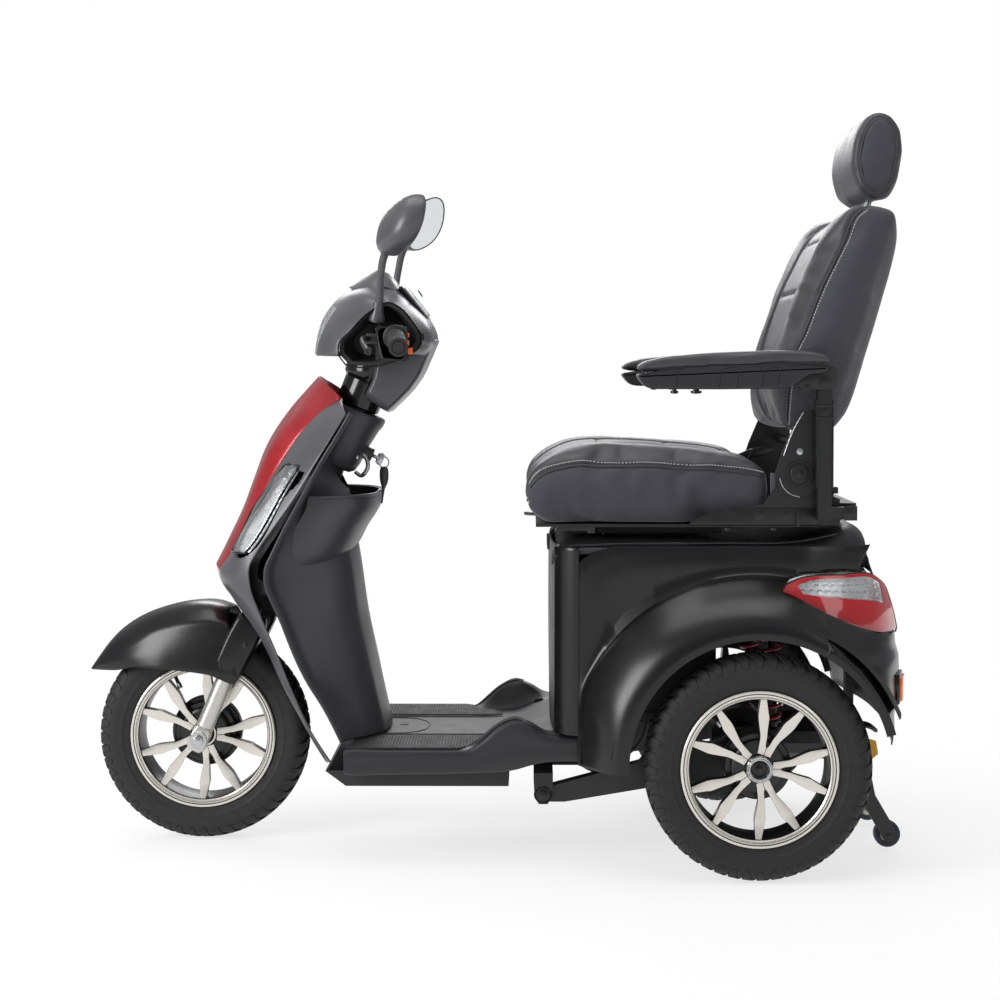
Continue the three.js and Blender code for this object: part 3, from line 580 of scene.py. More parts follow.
def painted(obj, finishes, choose):
    """Several finishes on one piece: choose(face) gives the index for each face."""
    obj.data.materials.clear()
    for finish in finishes:
        obj.data.materials.append(finish)
    for face in obj.data.polygons:
        face.material_index = choose(face)
    return obj


# ---- Finishes ----
def add(tree, kind, inputs=None, **settings):
    """Adds a node with its settings, its input values and its links."""
    made = tree.nodes.new(kind)
    for key, value in settings.items():
        setattr(made, key, value)
    for key, value in (inputs or {}).items():
        if isinstance(value, bpy.types.NodeSocket):
            tree.links.new(value, made.inputs[key])
        else:
            made.inputs[key].default_value = value
    return made


def finish(name, first, second, rough, grain, depth, patch=40.0, sockets=None, detail=3.0):
    """A material whose colour and roughness drift over patches and whose surface has a grain.

    Colours are linear triples, rough is (low, high), and grain, depth and patch are in millimetres.
    """
    material = bpy.data.materials.new(name)
    material.use_nodes = True
    tree = material.node_tree
    shader = tree.nodes["Principled BSDF"]
    for key, value in (sockets or {}).items():
        shader.inputs[key].default_value = value
    place = add(tree, "ShaderNodeTexCoord").outputs["Object"]
    patches = add(tree, "ShaderNodeTexNoise", {"Vector": place, "Scale": 1000 / patch, "Detail": 4.0}).outputs["Fac"]
    blend = add(tree, "ShaderNodeMix", {0: patches, 6: (*first, 1), 7: (*second, 1)}, data_type="RGBA")
    tree.links.new(blend.outputs[2], shader.inputs["Base Color"])
    spread = add(
        tree, "ShaderNodeMapRange",
        {"Value": patches, "From Min": 0.3, "From Max": 0.7, "To Min": rough[0], "To Max": rough[1]}
    )
    tree.links.new(spread.outputs["Result"], shader.inputs["Roughness"])
    if depth:
        grains = add(
            tree, "ShaderNodeTexNoise", {"Vector": place, "Scale": 1000 / grain, "Detail": detail}
        ).outputs["Fac"]
        bump = add(tree, "ShaderNodeBump", {"Height": grains, "Strength": 1.0, "Distance": depth / 1000})
        tree.links.new(bump.outputs["Normal"], shader.inputs["Normal"])
    return material


def socket_source(material, name):
    """The node that feeds a socket of the material's shader."""
    return material.node_tree.nodes["Principled BSDF"].inputs[name].links[0].from_node


def scaled(rgb, share):
    return tuple(min(1.0, c * share) for c in rgb)


FINISHES = {}


def finish_of(name):
    """A finish by name, made the first time it is asked for."""
    if name not in FINISHES:
        FINISHES[name] = globals()["make_" + name]()
    return FINISHES[name]


def make_body_paint():
    # Satin black paint on moulded ABS of the front panels, drawn dark grey, lighter than the rear body's black: partly
    # its own colour, partly painted light from the front; a soft broad highlight and a faint orange peel.
    c = tuple(bpy.context.scene.scooter_colours.body)
    return finish(
        "satin_black_painted_abs", c, scaled(c, 1.35), (0.3, 0.38), 5.0, 0.05, 90.0,
        {"Coat Weight": 0.12, "Coat Roughness": 0.25}
    )


def make_rear_paint():
    # Gloss black paint on the moulded rear body and the mudguard, drawn deeper black than the front panels: partly its
    # own colour, partly painted shade; crisp, narrow highlights.
    return finish(
        "gloss_black_painted_abs", colour("#0A0A0B"), colour("#0F0F10"), (0.24, 0.3), 5.0, 0.04, 90.0,
        {"Specular IOR Level": 0.4, "Coat Weight": 0.1, "Coat Roughness": 0.2}
    )


def make_cover_paint():
    # Metallic red lacquer under a clear coat: deep red with fine flakes that catch the light.
    c = tuple(bpy.context.scene.scooter_colours.cover)
    material = finish("metallic_red_lacquer", scaled(c, 0.75), scaled(c, 1.25), (0.3, 0.38), 2.2, 0.03, 70.0,
                      {"Metallic": 0.4, "Coat Weight": 0.6, "Coat Roughness": 0.12})
    tree = material.node_tree
    place = next(n for n in tree.nodes if n.type == "TEX_COORD").outputs["Object"]
    # Real flakes are 0.1 mm; these are drawn at 1.2 mm so that they show.
    flakes = add(tree, "ShaderNodeTexVoronoi", {"Vector": place, "Scale": 1000 / 1.2}).outputs["Color"]
    grey = add(tree, "ShaderNodeRGBToBW", {"Color": flakes}).outputs["Val"]
    mapped = add(
        tree, "ShaderNodeMapRange", {"Value": grey, "From Min": 0.2, "From Max": 0.9, "To Min": 0.8, "To Max": 1.35}
    )
    base = socket_source(material, "Base Color")
    lit = add(
        tree, "ShaderNodeVectorMath", {0: base.outputs[2], "Scale": mapped.outputs["Result"]}, operation="SCALE"
    )
    tree.links.new(lit.outputs["Vector"], tree.nodes["Principled BSDF"].inputs["Base Color"])
    return material


def make_trim():
    # Moulded black polypropylene with a fine leather-like texture: darker and less glossy than the paint.
    c = tuple(bpy.context.scene.scooter_colours.trim)
    return finish("textured_black_polypropylene", c, scaled(c, 1.3), (0.42, 0.52), 1.3, 0.09, 60.0)


def make_shield_plastic():
    # Moulded grey ABS of the leg shield and the storage bin: satin, with a fine even texture.
    return finish("moulded_grey_abs", colour("#38383B"), colour("#414144"), (0.36, 0.44), 1.3, 0.06, 80.0)


def make_gloss_trim():
    # Polished black ABS round the dash and the lamps: a mirror-like black.
    return finish("gloss_black_abs", colour("#0B0B0C"), colour("#101011"), (0.1, 0.16), 12.0, 0.02, 80.0)


def make_dark_recess():
    # Black moulding deep inside openings, darker and duller than the trim: partly its own black, partly painted shade
    # of the recesses.
    return finish("dull_black_moulding", colour("#0A0A0B"), colour("#121213"), (0.6, 0.75), 1.5, 0.08, 20.0)


def make_frame_coat():
    # Black powder coat on steel: an even satin with the small bumps of baked powder, 2 mm apart.
    return finish("black_powder_coated_steel", colour("#0E0E0F"), colour("#171718"), (0.32, 0.45), 2.0, 0.07, 30.0)


def make_fork_alloy():
    # Die-cast aluminium, painted silver: bright and soft, with a cast skin.
    return finish(
        "silver_painted_cast_aluminium", colour("#B9B7B3"), colour("#CFCCC6"), (0.28, 0.4), 1.6, 0.05, 25.0,
        {"Metallic": 0.85}
    )


def make_chrome():
    # Zinc-plated steel of nuts and bolts: bright, slightly blue, with handling marks.
    return finish(
        "zinc_plated_steel", colour("#A9ABAE"), colour("#CFD0D0"), (0.2, 0.38), 1.2, 0.02, 6.0, {"Metallic": 1.0}
    )


def make_machined_alloy():
    # Diamond-cut aluminium under clear lacquer: pale silver with fine lines from the lathe, 1.4 mm apart so
    # that they show.
    c = tuple(bpy.context.scene.scooter_colours.alloy)
    material = finish(
        "diamond_cut_aluminium", scaled(c, 1.0), scaled(c, 1.04), (0.24, 0.3), 1.4, 0.0, 60.0, {"Metallic": 0.7}
    )
    tree = material.node_tree
    place = next(n for n in tree.nodes if n.type == "TEX_COORD").outputs["Object"]
    lines = add(tree, "ShaderNodeTexNoise", {"Vector": place, "Scale": 700.0, "Detail": 2.0}).outputs["Fac"]
    bump = add(tree, "ShaderNodeBump", {"Height": lines, "Strength": 0.35, "Distance": 0.00002})
    tree.links.new(bump.outputs["Normal"], tree.nodes["Principled BSDF"].inputs["Normal"])
    return material


def make_wheel_black():
    # Gloss black paint in the wheels' pockets and on the drums.
    return finish("gloss_black_wheel_paint", colour("#0D0D0E"), colour("#161617"), (0.25, 0.35), 2.5, 0.04, 25.0)


def make_tyre():
    # Tyre rubber: blackish grey, dull, with a fine mould grain and a trace of dust.
    return finish("tyre_rubber", colour("#141415"), colour("#1E1E1E"), (0.62, 0.78), 1.1, 0.08, 12.0)


def make_rubber():
    # Moulded soft rubber of grips, boots and mats: dull black with a fine grain.
    return finish("moulded_rubber", colour("#121213"), colour("#1B1B1C"), (0.55, 0.7), 0.9, 0.06, 15.0)


def make_clear_lens():
    # Clear polycarbonate: almost invisible, with bright edges.
    return finish("clear_polycarbonate", colour("#FFFFFF"), colour("#F4F7FA"), (0.03, 0.07), 6.0, 0.01, 60.0,
                  {"Transmission Weight": 0.92, "IOR": 1.45, "Coat Weight": 0.3})


def make_lamp_bowl():
    # Vacuum-metallised reflector behind the clear lenses: bright silver with soft facets.
    return finish(
        "metallised_reflector", colour("#E6E8EA"), colour("#F7F8F9"), (0.2, 0.34), 9.0, 0.12, 30.0, {"Metallic": 0.4}
    )


def make_red_lens():
    # Red acrylic of the tail lamps: deep, glossy red with light inside.
    return finish(
        "red_acrylic", colour("#8E0710"), colour("#B00C18"), (0.05, 0.1), 6.0, 0.01, 30.0,
        {
            "Coat Weight": 1.0, "Coat Roughness": 0.02, "Emission Color": (*colour("#FF1A20"), 1),
            "Emission Strength": 0.05
        }
    )


def make_amber_lens():
    # Amber acrylic of the side reflector, with a faint painted glow: it gives off light though it is no lamp.
    return finish("amber_acrylic", colour("#E2570E"), colour("#F07A1C"), (0.06, 0.12), 2.0, 0.05, 8.0,
                  {"Coat Weight": 1.0, "Emission Color": (*colour("#FF6A10"), 1), "Emission Strength": 0.1})


def make_spring_paint():
    # Red enamel on spring wire: smooth and glossy.
    c = tuple(bpy.context.scene.scooter_colours.spring)
    return finish(
        "red_enamelled_spring_steel", c, scaled(c, 1.2), (0.25, 0.35), 3.0, 0.03, 20.0, {"Coat Weight": 0.5}
    )


def make_leather():
    # PU leatherette: charcoal with a pebble grain of 1.8 mm cells and a low sheen on the worn tops.
    c = tuple(bpy.context.scene.scooter_colours.vinyl)
    material = finish("pu_leatherette", scaled(c, 0.85), scaled(c, 1.25), (0.4, 0.52), 1.0, 0.0, 35.0)
    tree = material.node_tree
    place = next(n for n in tree.nodes if n.type == "TEX_COORD").outputs["Object"]
    cells = add(
        tree, "ShaderNodeTexVoronoi", {"Vector": place, "Scale": 1000 / 1.8}, feature="SMOOTH_F1"
    ).outputs["Distance"]
    folds = add(tree, "ShaderNodeTexNoise", {"Vector": place, "Scale": 1000 / 9.0, "Detail": 3.0}).outputs["Fac"]
    both = add(tree, "ShaderNodeMath", {0: cells, 1: folds}, operation="ADD").outputs["Value"]
    bump = add(tree, "ShaderNodeBump", {"Height": both, "Strength": 0.9, "Distance": 0.0003})
    tree.links.new(bump.outputs["Normal"], tree.nodes["Principled BSDF"].inputs["Normal"])
    return material


def make_side_cloth():
    # Tight woven polyester with a backing: bluish charcoal, dull, its threads drawn 1.6 mm apart so that they show.
    c = tuple(bpy.context.scene.scooter_colours.cloth)
    material = finish(
        "woven_polyester", scaled(c, 0.88), scaled(c, 1.18), (0.75, 0.88), 1.0, 0.0, 25.0,
        {"Sheen Weight": 0.25, "Sheen Roughness": 0.5}
    )
    tree = material.node_tree
    place = next(n for n in tree.nodes if n.type == "TEX_COORD").outputs["Object"]
    bands = [
        add(
            tree, "ShaderNodeTexWave",
            {"Vector": place, "Scale": 1000 / 1.6 / 6.2832 * 0.5, "Distortion": 0.6, "Detail": 1.0},
            bands_direction=axis
        ).outputs["Fac"]
        for axis in ("X", "Z")
    ]
    weave = add(tree, "ShaderNodeMath", {0: bands[0], 1: bands[1]}, operation="MULTIPLY").outputs["Value"]
    bump = add(tree, "ShaderNodeBump", {"Height": weave, "Strength": 0.8, "Distance": 0.00025})
    tree.links.new(bump.outputs["Normal"], tree.nodes["Principled BSDF"].inputs["Normal"])
    return material


def make_thread():
    # Bonded polyester sewing thread: pale grey, slightly fuzzy.
    c = tuple(bpy.context.scene.scooter_colours.stitching)
    return finish("polyester_thread", scaled(c, 0.85), c, (0.6, 0.75), 0.6, 0.05, 4.0)


def make_orange():
    return finish("orange_abs", colour("#E4571A"), colour("#F0701F"), (0.3, 0.4), 2.0, 0.03, 10.0)


def make_yellow():
    return finish("yellow_nylon", colour("#C98F12"), colour("#DBA51F"), (0.4, 0.5), 2.0, 0.05, 10.0)


def make_mirror_glass():
    # Silvered glass: a plain mirror.
    return finish(
        "silvered_glass", colour("#E8ECEE"), colour("#F4F6F7"), (0.01, 0.03), 20.0, 0.0, 60.0, {"Metallic": 0.55}
    )


def make_screen():
    # Display window of white-backed polycarbonate.
    return finish(
        "display_window", colour("#E6EAEC"), colour("#F4F6F7"), (0.08, 0.15), 10.0, 0.0, 20.0, {"Coat Weight": 0.6}
    )


def make_navy():
    return finish("polyurethane_tyre", colour("#1B2233"), colour("#262E42"), (0.4, 0.5), 2.0, 0.04, 8.0)


def make_beige():
    return finish("beige_nylon_hub", colour("#B9B2A4"), colour("#CBC4B6"), (0.45, 0.55), 1.5, 0.04, 6.0)


# ---- Pieces ----
def far_floor():
    """Matt pale studio floor that turns into the white of the room further out."""
    made = finish("pale_studio_floor", colour("#F6F6F6"), colour("#FAFAFA"), (0.8, 0.9), 50.0, 0.0, 900.0)
    tree = made.node_tree
    shader = next(n for n in tree.nodes if n.type == "BSDF_PRINCIPLED")
    output = next(n for n in tree.nodes if n.type == "OUTPUT_MATERIAL")
    place = add(tree, "ShaderNodeTexCoord")
    near = add(tree, "ShaderNodeMapping", {"Vector": place.outputs["Object"], "Scale": (0.8, 1.0, 1.0)})
    reach = add(tree, "ShaderNodeVectorMath", {0: near.outputs[0]}, operation="LENGTH")
    share = add(
        tree, "ShaderNodeMapRange",
        {"Value": reach.outputs["Value"], "From Min": 0.7, "From Max": 1.5, "To Min": 0.72},
        interpolation_type="SMOOTHSTEP"
    )
    white = add(tree, "ShaderNodeEmission", {"Color": (1, 1, 1, 1), "Strength": 1.0})
    add_mix = add(tree, "ShaderNodeMixShader", {0: share.outputs[0], 1: shader.outputs[0], 2: white.outputs[0]})
    tree.links.new(add_mix.outputs[0], output.inputs["Surface"])
    return made


class SCOOTER_OT_stage(bpy.types.Operator):
    """Camera, pale floor and soft studio lights"""

    bl_idname = "scooter.stage"
    bl_label = "Studio"

    def execute(self, context):
        scene = context.scene
        camera = bpy.data.cameras.new("camera")
        camera.lens = 65.47
        camera.sensor_width = 36.0
        camera.shift_x = -0.02
        camera.shift_y = -0.08
        camera.clip_end = 60.0
        eye = bpy.data.objects.new("camera", camera)
        scene.collection.objects.link(eye)
        eye.location = (-0.0819, 3.5341, 0.9164)
        eye.rotation_euler = Vector((0.00627, -0.9996, -0.02915)).to_track_quat("-Z", "Y").to_euler()
        scene.camera = eye
        scene.view_settings.view_transform = "Standard"

        deselect()
        bpy.ops.mesh.primitive_grid_add(x_subdivisions=8, y_subdivisions=8, size=24, location=(0, 0, -0.0006))
        floor = added("studio_floor")
        floor.data.materials.append(far_floor())
        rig.stage(floor)

        # A white room seen directly, and a dimmer one for what the panels mirror.
        world = bpy.data.worlds.new("studio")
        world.use_nodes = True
        scene.world = world
        tree = world.node_tree
        plain = tree.nodes["Background"]
        plain.inputs["Color"].default_value = (0.62, 0.63, 0.65, 1)
        plain.inputs["Strength"].default_value = 0.5
        white = add(tree, "ShaderNodeBackground", {"Color": (1, 1, 1, 1), "Strength": 1.0})
        path = add(tree, "ShaderNodeLightPath")
        mixed = add(
            tree, "ShaderNodeMixShader", {0: path.outputs["Is Camera Ray"], 1: plain.outputs[0], 2: white.outputs[0]}
        )
        tree.links.new(mixed.outputs[0], tree.nodes["World Output"].inputs["Surface"])
        for name, place, aim, size, power in (
            ("overhead_softbox", (0.1, 0.4, 3.6), (0, 0, 0.3), (3.2, 2.0), 50),
            ("key_softbox", (2.6, 2.9, 2.4), (0.1, 0, 0.5), (1.2, 1.8), 5),
            ("fill_softbox", (-2.9, 2.6, 1.7), (-0.2, 0, 0.5), (1.0, 1.8), 8),
            ("front_softbox", (2.7, 1.9, 1.6), (0.4, 0, 0.6), (1.3, 2.0), 82),
            ("back_softbox", (0.0, -3.2, 2.4), (0, 0, 0.5), (3.0, 1.2), 60),
        ):
            lamp = bpy.data.lights.new(name, "AREA")
            lamp.shape = "RECTANGLE"
            lamp.size, lamp.size_y = size
            lamp.energy = power
            obj = bpy.data.objects.new(name, lamp)
            scene.collection.objects.link(obj)
            obj.location = place
            obj.rotation_euler = (Vector(aim) - Vector(place)).to_track_quat("-Z", "Y").to_euler()
        sun = bpy.data.lights.new("sky_panel", "SUN")
        sun.energy = 0.55
        sun.angle = 2.2
        obj = bpy.data.objects.new("sky_panel", sun)
        scene.collection.objects.link(obj)
        obj.rotation_euler = (math.radians(8), 0, 0)
        return {"FINISHED"}


# Half of the tyre's section, (radius, half width), and the line that the tread blocks follow.
TYRE_SECTION = [
    (133, 22), (133, 27), (137, 30.5), (142, 32.2), (146, 34.6), (148, 34.9), (150, 35.0), (156, 37.2), (157.5, 38.2),
    (159, 37.9), (166, 39.2), (174, 39.8), (180, 39.4), (186, 37.6), (191, 34.2), (195, 29), (197.6, 21), (198.6, 10),
    (198.8, 0)
]
TREAD_LINE = [(204, 0), (203.8, 8), (203, 15), (201, 23), (197.4, 30), (192.4, 35.6), (186.5, 39.2), (180.5, 40.2)]
# Blocks of one pitch: distance along the tread line, then the two ends as shares of a pitch.
TREAD_BLOCKS = [
    [(1.4, 0.04, 0.70), (6.0, 0.10, 0.80), (13.2, 0.26, 0.94)],
    [
        (16.6, 0.34, 1.00), (22.5, 0.46, 1.10), (30.5, 0.60, 1.22), (38.5, 0.66, 1.24), (46.5, 0.68, 1.16),
        (50.5, 0.72, 1.10)
    ]
]


def tread(name):
    sizes = bpy.context.scene.scooter_sizes
    pitch = 360 / sizes.tread_pitches
    line = spline(TREAD_LINE, 6)
    walk = np.concatenate([[0], np.cumsum(np.linalg.norm(np.diff(line, axis=0), axis=1))])
    at = lambda d: np.array([np.interp(d, walk, line[:, 0]), np.interp(d, walk, line[:, 1])])
    parts = []
    for hand, shift in ((1, 0.0), (-1, 0.5)):
        for block_rows in TREAD_BLOCKS:
            rings = []
            for k, (d, a0, a1) in enumerate(block_rows):
                r, y = at(d)
                along = at(d + 1) - at(d - 1 if d > 1 else 0)
                inward = np.array([-along[1], along[0]]) / np.linalg.norm(along)
                inward = -inward if inward[0] > 0 else inward
                low = np.array([r, y]) + inward * (6.5 if d < 36 else max(2.0, 6.5 - (d - 36) * 0.35))
                ends = (k == 0) - (k == len(block_rows) - 1)
                top = at(d + 0.5 * ends)
                ring = []
                for (rr, yy), a in ((low, a0 - 0.015), (top, a0 + 0.03), (top, a1 - 0.03), (low, a1 + 0.015)):
                    turn = math.radians((a + shift) * pitch)
                    ring.append((rr * math.cos(turn), hand * yy, rr * math.sin(turn)))
                rings.append(ring)
            parts.append(skinned(name, rings))
    one = joined(*parts)
    one.name = name
    return repeated(one, [Matrix.Rotation(math.radians(-pitch * k), 4, "Y") for k in range(sizes.tread_pitches)])


class SCOOTER_OT_tyres(bpy.types.Operator):
    """The three tyres, with sidewall ribs and tread blocks"""

    bl_idname = "scooter.tyres"
    bl_label = "Tyres"

    def execute(self, context):
        full = [(r, -y) for r, y in TYRE_SECTION[:-1]] + [(r, y) for r, y in TYRE_SECTION[::-1]]
        tyre = turned("tyre", full, (0, 0, 0), steps=96)
        blocks = tread("tread")
        for name, body, centre in (
            ("front_tyre", "front_wheel", FRONT_AXLE),
            ("rear_tyre_left", "rear_wheel_left", REAR_AXLE + (0, TRACK_HALF, 0)),
            ("rear_tyre_right", "rear_wheel_right", REAR_AXLE - (0, TRACK_HALF, 0)),
        ):
            move = Matrix.Translation(Vector(centre) / 1000)
            both = named(joined(repeated(tyre.copy(), [move]), repeated(blocks.copy(), [move])), name + "_rubber")
            dress(both, body, "tyre", "tyre_rubber", [name], 28)
        for spare in (tyre, blocks):
            bpy.data.objects.remove(spare, do_unlink=True)
        return {"FINISHED"}


# One blade of a pair, from the middle line of the pair: radius, inner and outer edge.
BLADE = [
    (25, 0, 12.4), (33, 0, 13.4), (38, 0.05, 14.4), (41, 1.8, 14.9), (45, 3.2, 15.6), (50, 4.2, 16.6),
    (57, 5.4, 18.6), (70, 9.2, 25.4), (82, 12.0, 31.6), (89, 13.6, 34.6), (94, 15.4, 35.8), (98, 18.0, 36.8),
    (110, 24.4, 39.6), (120, 29.8, 41.9), (130.5, 35.5, 44.5)
]
RIM_BARREL = [
    (124, -34), (124, 30), (126, 34.5), (128.4, 36.4), (129.6, 35.2), (130.6, 35.2), (131, 37), (133.6, 37.4),
    (134.2, 36.2), (135, 36.2), (135.6, 37.6), (137.8, 37.6), (140, 36.4), (140.2, 33.0), (138.0, 31.8),
    (131.8, 27.5), (131.8, -27.5), (138.0, -31.8), (140.2, -33.0), (140, -36), (137, -37.4), (130, -37)
]


def blade():
    """One faceted blade, its face machined and its sides painted."""
    rings = []
    for r, inner, outer in BLADE:
        face = np.interp(r, [25, 44, 60, 100, 130.5], [23.5, 23.5, 24.8, 28.0, 33.5])
        mid = inner * 0.42 + outer * 0.58
        rings.append(
            [
                (inner + 1.2, 5, r), (inner, face - 1.5, r), (inner + 0.5, face - 0.4, r), (mid, face + 0.3, r),
                (outer - 0.5, face - 0.4, r), (outer, face - 1.5, r), (outer - 1.2, 5, r)
            ]
        )
    return skinned("blade", rings)


def wheel_casting(name):
    """Rim and blades about the origin, the machined face toward +Y."""
    pairs = []
    for hand in (1, -1):
        one = blade()
        if hand < 0:
            one.data.transform(Matrix.Scale(-1, 4, (1, 0, 0)))
            one.data.flip_normals()
        pairs.append(one)
    pair = joined(*pairs)
    spokes = repeated(pair, [Matrix.Rotation(math.radians(90 - 38 - 72 * k), 4, "Y") for k in range(5)])
    barrel = turned("barrel", RIM_BARREL, (0, 0, 0), steps=120)
    hub = turned(
        "hub",
        [
            (10, 5), (10, 24.5), (15.5, 24.5), (16.5, 21), (19, 21), (20.5, 24.5), (23.5, 24.2), (25, 19.5),
            (34, 18.6), (44, 17.5), (48, 15), (49, 12), (49, 5)
        ],
        (0, 0, 0), steps=80
    )
    back = turned("backplate", [(10, -8), (10, 4), (58, 4), (60, 2), (60, -6), (58, -8)], (0, 0, 0), steps=64)
    whole = named(joined(barrel, hub, spokes, back), name)

    def choose(face):
        r = math.hypot(face.center.x, face.center.z) * 1000
        y = face.center.y * 1000
        if face.normal.y > 0.55 and (r < 131 and y > 20.0 and not 15.2 < r < 19.5):
            return 0
        if 127.2 < r and y > 33:
            return 1 if 128.8 < r < 130.8 or 134.0 < r < 135.3 else 0
        return 1

    return painted(whole, [finish_of("machined_alloy"), finish_of("wheel_black")], choose)


def drum(name, radius, y0, y1):
    """A finned brake drum about the origin."""
    step = 4.0
    fins = []
    y = y0 + 3
    while y < y1 - 4:
        fins += [(radius, y), (radius, y + 1.6), (radius - 3, y + 2.0), (radius - 3, y + step - 0.4)]
        y += step
    profile = [(12, y0), (radius - 6, y0)] + fins + [
        (radius, y1 - 3), (radius - 2, y1), (radius - 12, y1), (radius - 15, y1 - 2), (26, y1 - 2), (22, y1 + 2),
        (12, y1 + 2)
    ]
    return turned(name, profile, (0, 0, 0), steps=64)


def valve(name, angle, side):
    """A valve stem with its cap, standing in from the rim."""
    a = math.radians(angle)
    out = np.array([math.cos(a), 0, math.sin(a)])
    start, end = out * 123.5 + (0, side * 9, 0), out * 99 + (0, side * 15, 0)
    stem = pin(name, start, start + (end - start) * 0.6, 3.6, 16, 0.6)
    cap = pin(name + "_cap", start + (end - start) * 0.55, end, 4.6, 12, 0.8)
    return stem, cap


class SCOOTER_OT_wheels(bpy.types.Operator):
    """Cast wheels with machined blades, brake drums, hub caps and valves"""

    bl_idname = "scooter.wheels"
    bl_label = "Wheels"

    def execute(self, context):
        casting = wheel_casting("wheel_casting")
        for name, body, centre, side in (
            ("front_rim", "front_wheel", FRONT_AXLE, 1),
            ("rear_rim_left", "rear_wheel_left", REAR_AXLE + (0, TRACK_HALF, 0), 1),
            ("rear_rim_right", "rear_wheel_right", REAR_AXLE - (0, TRACK_HALF, 0), -1),
        ):
            place = Matrix.Translation(Vector(centre) / 1000)
            rim = repeated(casting.copy(), [Matrix.Identity(4)])
            if side < 0:
                rim.data.transform(Matrix.Scale(-1, 4, (0, 1, 0)))
                rim.data.flip_normals()
            rim.data.transform(place)
            named(rim, name + "_casting")
            dress(rim, body, None, "wheel_alloy", [name], 24)
            front = name == "front_rim"
            brake = drum(name + "_drum", 68 if front else 60, *((-33, -9) if front else (-40, -9)))
            if side < 0:
                brake.data.transform(Matrix.Scale(-1, 4, (0, 1, 0)))
                brake.data.flip_normals()
            brake.data.transform(place)
            dress(brake, body, "wheel_black", "frame_paint")
            stem, cap = valve(name + "_valve", 62 if front else 48, side)
            stem.data.transform(place)
            cap.data.transform(place)
            dress(stem, body, "rubber", "soft_rubber")
            dress(cap, body, "chrome", "wheel_alloy")
            if not front:
                rings = [
                    (0.5, 27), (16, 27), (16, 36), (17.5, 38.5), (19.5, 38.5), (21, 36.5), (22.5, 36.5), (24, 34),
                    (24, 24), (0.5, 24)
                ]
                capped = turned(name + "_centre_cap", rings, (0, 0, 0), steps=64)
                if side < 0:
                    capped.data.transform(Matrix.Scale(-1, 4, (0, 1, 0)))
                    capped.data.flip_normals()
                capped.data.transform(place)
                dress(capped, body, "chrome", "wheel_alloy")
                dark = joined(
                    pin(name + "_recess", centre + (0, side * 26.6, 0), centre + (0, side * 28.4, 0), 15.6, 32, 0.4),
                    bolt(name + "_bolt", centre + (0, side * 28, 0), (0, side, 0), 6.5, 6, False),
                )
                named(dark, name + "_axle_nut")
                dress(dark, body, "wheel_black", "frame_paint")
            else:
                hubs = turned(name + "_bearing_cover", [(7, -36), (7, -33), (20, -33), (20, -36)], centre, steps=40)
                dress(hubs, body, "chrome", "wheel_alloy")
        bpy.data.objects.remove(casting, do_unlink=True)
        return {"FINISHED"}


class SCOOTER_OT_fork(bpy.types.Operator):
    """Fork sliders, axle nuts and the axle spindle"""

    bl_idname = "scooter.fork"
    bl_label = "Fork"

    def execute(self, context):
        for name, side in SIDES:
            y = side * LEG_Y
            slider = rod("slider_" + name, [on_leg(t, y) for t in (-4, 60, 120, 168)], 17, 2, 8)
            collar = pin("slider_lip_" + name, on_leg(158, y), on_leg(170, y), 19.2, 32, 1.4)
            foot = plate(
                "slider_foot_" + name,
                [
                    (x, z)
                    for x, z in ((-17, -16), (-10, -24), (10, -24), (18, -16), (18, 8), (13, 26), (-13, 26), (-17, 8))
                ],
                y - 18, y + 18, 3.2, 3
            )
            foot.data.transform(turned_about((0, 0, 0), (0, 1, 0), -23))
            foot.data.transform(Matrix.Translation(Vector(FRONT_AXLE) / 1000))
            rib = block(
                "slider_rib_" + name, tuple(FRONT_AXLE + (-6, y + side * 9 - 6, 10)),
                tuple(FRONT_AXLE + (6, y + side * 9 + 6, 120)), 3
            )
            rib.data.transform(turned_about(FRONT_AXLE, (0, 1, 0), -23))
            lower = named(joined(slider, collar, foot, rib), "fork_slider_" + name)
            dress(lower, "fork_legs", "fork_alloy", "fork_alloy", ["fork_lower"] if side > 0 else [], 35)
            nut = joined(
                bolt("axle_nut_" + name, FRONT_AXLE + (0, side * (LEG_Y + 18), 0), (0, side, 0), 10.5, 8),
                turned(
                    "axle_ring_" + name, [(9, -1.0), (9, 1.6), (15.5, 1.6), (16.5, 0.6), (16.5, -1.0)],
                    FRONT_AXLE + (0, side * (LEG_Y + 18.6), 0), (0, side, 0), 40
                )
            )
            named(nut, "front_axle_nut_" + name)
            dress(nut, "fork_legs", "chrome", "fork_alloy")
        spindle = pin("front_spindle", FRONT_AXLE - (0, 88, 0), FRONT_AXLE + (0, 88, 0), 6, 20, 0.5)
        dress(spindle, "fork_legs", "chrome", "fork_alloy")
        return {"FINISHED"}


# Stations of the front mudguard from its tip backwards: ridge, shoulder, crease, flank and lower edge.
FENDER = [
    [(778, 0, 329), (778, 2.0, 328.5), (777, 4.5, 328), (776, 6, 327.5), (774, 7, 327)],
    [(762, 0, 352), (761, 12, 349.5), (757, 22, 338), (752, 26, 332), (744, 29, 329)],
    [(744, 0, 377), (742, 18, 372), (730, 40, 354), (722, 47, 341), (712, 51, 333)],
    [(721, 0, 402), (717, 26, 396), (700, 55, 374), (692, 64, 356), (684, 69, 341)],
    [(676, 0, 433), (671, 34, 426), (655, 68, 401), (649, 79, 372), (642, 86, 341.5)],
    [(622, 0, 453), (617, 38, 447), (604, 74, 421), (600, 88, 382), (594, 95, 339)],
    [(575, 0, 462), (571, 40, 456), (562, 78, 429.5), (559, 92, 385), (554, 99, 335)],
    [(536, 0, 462), (532, 42, 457), (525, 80, 431), (520, 94, 384), (512, 101, 328)],
    [(502, 0, 452), (500, 42, 447), (495, 80, 425), (488, 95, 380), (477, 101, 321)],
]


